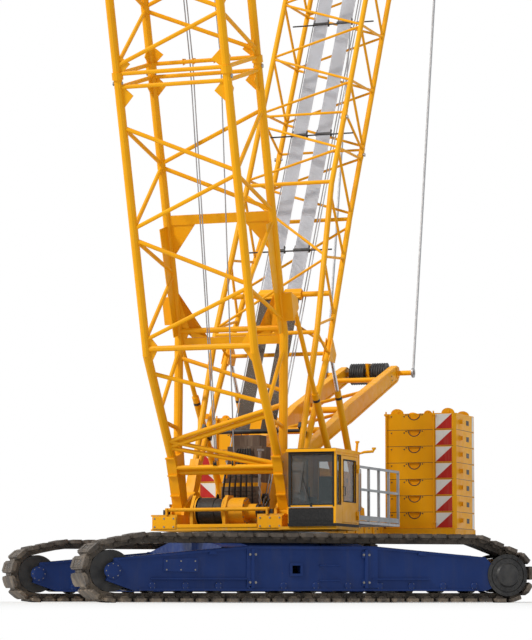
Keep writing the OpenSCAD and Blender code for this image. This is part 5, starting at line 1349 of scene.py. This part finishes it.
# Backstop collars: a gland nut at each tube's mouth
B_DIR = Vector((0.6136496892, 0, 0.7895784058))
M_DIR = Vector((0.5143591678, 0, 0.8575748635))
gl = Form("boom_stop_collars", DARK, "boom_stop_tubes", smooth=True)
for s in SIDES:
    p = Vector((-1.75, s * 1.36, 2.03))
    gl.tube(p + B_DIR * 2.86, p + B_DIR * 2.92, 0.072, 24)
    for k in (0.35, 2.80):
        gl.tube(p + B_DIR * k, p + B_DIR * (k + 0.06), 0.0765, 24)
gl.done()
gm = Form("mast_stop_collars", DARK, "mast_stop_tubes", smooth=True)
for s in SIDES:
    p = Vector((-3.55, s * 1.17, 2.03))
    for k in (0.35, 2.80):
        gm.tube(p + M_DIR * k, p + M_DIR * (k + 0.06), 0.0765, 24)
gm.done()

# ---------------------------------------------------------------- hook block
HPW = Vector((12.4544222, 35.3764925))
HOOK_DROP = 4.2
BZ = HPW.y - HOOK_DROP
HOOK = Matrix.Translation((HPW.x, 0, BZ))
hk = Form("hook_block_plates", YELLOW, "hook_lines", HOOK, bevel=0.008)
hkb = Form("hook_block_bolts", BOLT, "hook_lines", HOOK)
for s in SIDES:
    y = s * 0.50
    hk.plate([(-0.27, 0.08), (-0.27, -0.26), (-0.16, -0.48), (0.16, -0.48), (0.27, -0.26), (0.27, 0.08), (0.13, 0.26),
              (-0.13, 0.26)], y, s * 0.02)
    hk.cap([(0.0, 0.0), (0.11, 0.0), (0.11, s * 0.02), (0.07, s * 0.03), (0.0, s * 0.03)], (0, y + s * 0.02, 0), 28)
    hkb.hexes([(x, y + s * 0.02, z) for x, z in ((-0.2, -0.2), (0.2, -0.2), (-0.12, -0.4), (0.12, -0.4), (-0.2, 0.04),
                                                 (0.2, 0.04), (0, 0.2))], (0, s, 0), 0.016, 0.018)
hk.done()
hkb.done()
hr = Form("hook_rope_falls", ROPE, "hook_lines", HOOK, smooth=True)
for y in HEAD_WHEELS:
    for x in (-0.4703, 0.4703):
        hr.rope((x, y, 0.0), (x, y, HOOK_DROP), 0.016, 1)
hr.done("hook_falls")
stripe = Form("hook_block_stripes", RED, "hook_lines", HOOK)
for s in SIDES:
    for k in range(3):
        x = -0.2 + k * 0.16
        y = s * 0.5201
        stripe.plate([(x, -0.18), (x + 0.07, -0.18), (x + 0.13, -0.08), (x + 0.06, -0.08)], y, s * 0.002)
stripe.done()
latch = Form("hook_latch", STEEL, "load_hook", HOOK, bevel=0.003)
for s in SIDES:
    latch.box((s * 0.08, -0.02, -1.09), (s * 0.30, 0.02, -1.07))
    latch.tube((s * 0.09, -0.05, -1.08), (s * 0.09, 0.05, -1.08), 0.022, 12)
latch.done()

# Walkway grating and the kick strip of its railing
wlo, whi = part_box("walkway")
grate = Form("walkway_grating", STEEL)
x = wlo[0] + 0.03
while x < whi[0] - 0.03:
    grate.box((x, wlo[1] + 0.02, whi[2] + 0.0005), (x + 0.006, whi[1] - 0.02, whi[2] + 0.012))
    x += 0.06
y = wlo[1] + 0.02
while y < whi[1] - 0.02:
    grate.box((wlo[0] + 0.02, y, whi[2] + 0.0005), (whi[0] - 0.02, y + 0.005, whi[2] + 0.010))
    y += 0.12
grate.done()
rlo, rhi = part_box("railings")
kick = Form("rail_kick_strip", RAIL, bevel=0.002)
kick.box((rlo[0] + 0.02, rhi[1] - 0.012, rlo[2] + 0.02), (rhi[0] - 0.02, rhi[1] - 0.004, rlo[2] + 0.12))
kick.done()

# ---------------------------------------------------------------- stage, light and camera
def seen_directly(tree):
    """1 for rays from the camera, a mirror or a pane."""
    path = tree.nodes.new("ShaderNodeLightPath").outputs
    total = path["Is Camera Ray"]
    for name in ("Is Glossy Ray", "Is Transmission Ray"):
        total = calc(tree, "ADD", total, path[name], clamp=True)
    return total


def blended(tree, out, near, far, fac):
    """Mixes two shaders into an output node."""
    blend = tree.nodes.new("ShaderNodeMixShader")
    for sock, v in zip(blend.inputs, (fac, near, far)):
        tree.links.new(v, sock)
    tree.links.new(blend.outputs[0], out.inputs[0])


def stage_material():
    """Pale floor that turns into the white background away from the crane."""
    mat, tree, sh = new_material("pale_floor")
    put(tree, sh.inputs["Base Color"], ramp(tree, noise(tree, 0.4),
                                            [(0.3, (0.82, 0.82, 0.81)), (0.7, (0.85, 0.85, 0.84))]))
    sh.inputs["Roughness"].default_value = 0.9
    sh.inputs["Specular IOR Level"].default_value = 0.1
    far = tree.nodes.new("ShaderNodeVectorMath")
    far.operation = "LENGTH"
    tree.links.new(tree.nodes.new("ShaderNodeNewGeometry").outputs["Position"], far.inputs[0])
    fade = calc(tree, "MULTIPLY", remap(tree, far.outputs["Value"], 18.0, 42.0), seen_directly(tree))
    glow = tree.nodes.new("ShaderNodeEmission")
    glow.inputs[0].default_value = (1.0, 1.0, 1.0, 1.0)
    glow.inputs[1].default_value = 1.0
    out = next(n for n in tree.nodes if n.type == "OUTPUT_MATERIAL")
    blended(tree, out, sh.outputs[0], glow.outputs[0], fade)
    return mat


me = bpy.data.meshes.new("floor")
R, FLOOR = 600.0, cad_box[0][2]
me.from_pydata([(-R, -R, FLOOR), (R, -R, FLOOR), (R, R, FLOOR), (-R, R, FLOOR)], [], [(0, 1, 2, 3)])
me.materials.append(stage_material())
floor = bpy.data.objects.new("floor", me)
bpy.context.scene.collection.objects.link(floor)

world = bpy.data.worlds.new("studio")
bpy.context.scene.world = world
world.use_nodes = True
wt = world.node_tree
wt.nodes.clear()
wout = wt.nodes.new("ShaderNodeOutputWorld")
bg = wt.nodes.new("ShaderNodeBackground")
bgw = wt.nodes.new("ShaderNodeBackground")
bg.inputs[0].default_value = (0.84, 0.89, 0.95, 1.0)
bg.inputs[1].default_value = 0.60
bgw.inputs[0].default_value = (1.0, 1.0, 1.0, 1.0)
bgw.inputs[1].default_value = 1.0
blended(wt, wout, bg.outputs[0], bgw.outputs[0], seen_directly(wt))

sun_data = bpy.data.lights.new("key", "SUN")
sun_data.energy = 2.6
sun_data.angle = rad(12)
sun_data.color = (1.0, 0.97, 0.92)
sun = bpy.data.objects.new("key", sun_data)
sun.rotation_euler = Vector((-0.62, 0.55, -0.75)).to_track_quat("-Z", "Y").to_euler()
bpy.context.scene.collection.objects.link(sun)

cam_data = bpy.data.cameras.new("camera")
cam = bpy.data.objects.new("camera", cam_data)
bpy.context.scene.collection.objects.link(cam)
bpy.context.scene.camera = cam
FOCAL, PICTURE_H = 2760.0, 640.0  # of the fitted camera, in pixels of the photo
cam_data.lens = FOCAL / PICTURE_H * 36.0
cam_data.sensor_width = 36.0
cam_data.clip_start = 0.1
cam_data.clip_end = 2000.0
out_dir = Vector((0.93969, 0.34202, 0.0))
right = Vector((-0.34202, 0.93969, 0.0))
dist = 58.95
cam.location = out_dir * dist + Vector((0, 0, 0.06))
yaw, pitch = math.atan(10.0 / FOCAL), math.atan(279.0 / FOCAL)
look = (-out_dir * math.cos(yaw) + right * math.sin(yaw)) * math.cos(pitch) + Vector((0, 0, math.sin(pitch)))
cam.rotation_mode = "QUATERNION"
cam.rotation_quaternion = look.to_track_quat("-Z", "Y")

bpy.context.scene.view_settings.view_transform = "Standard"
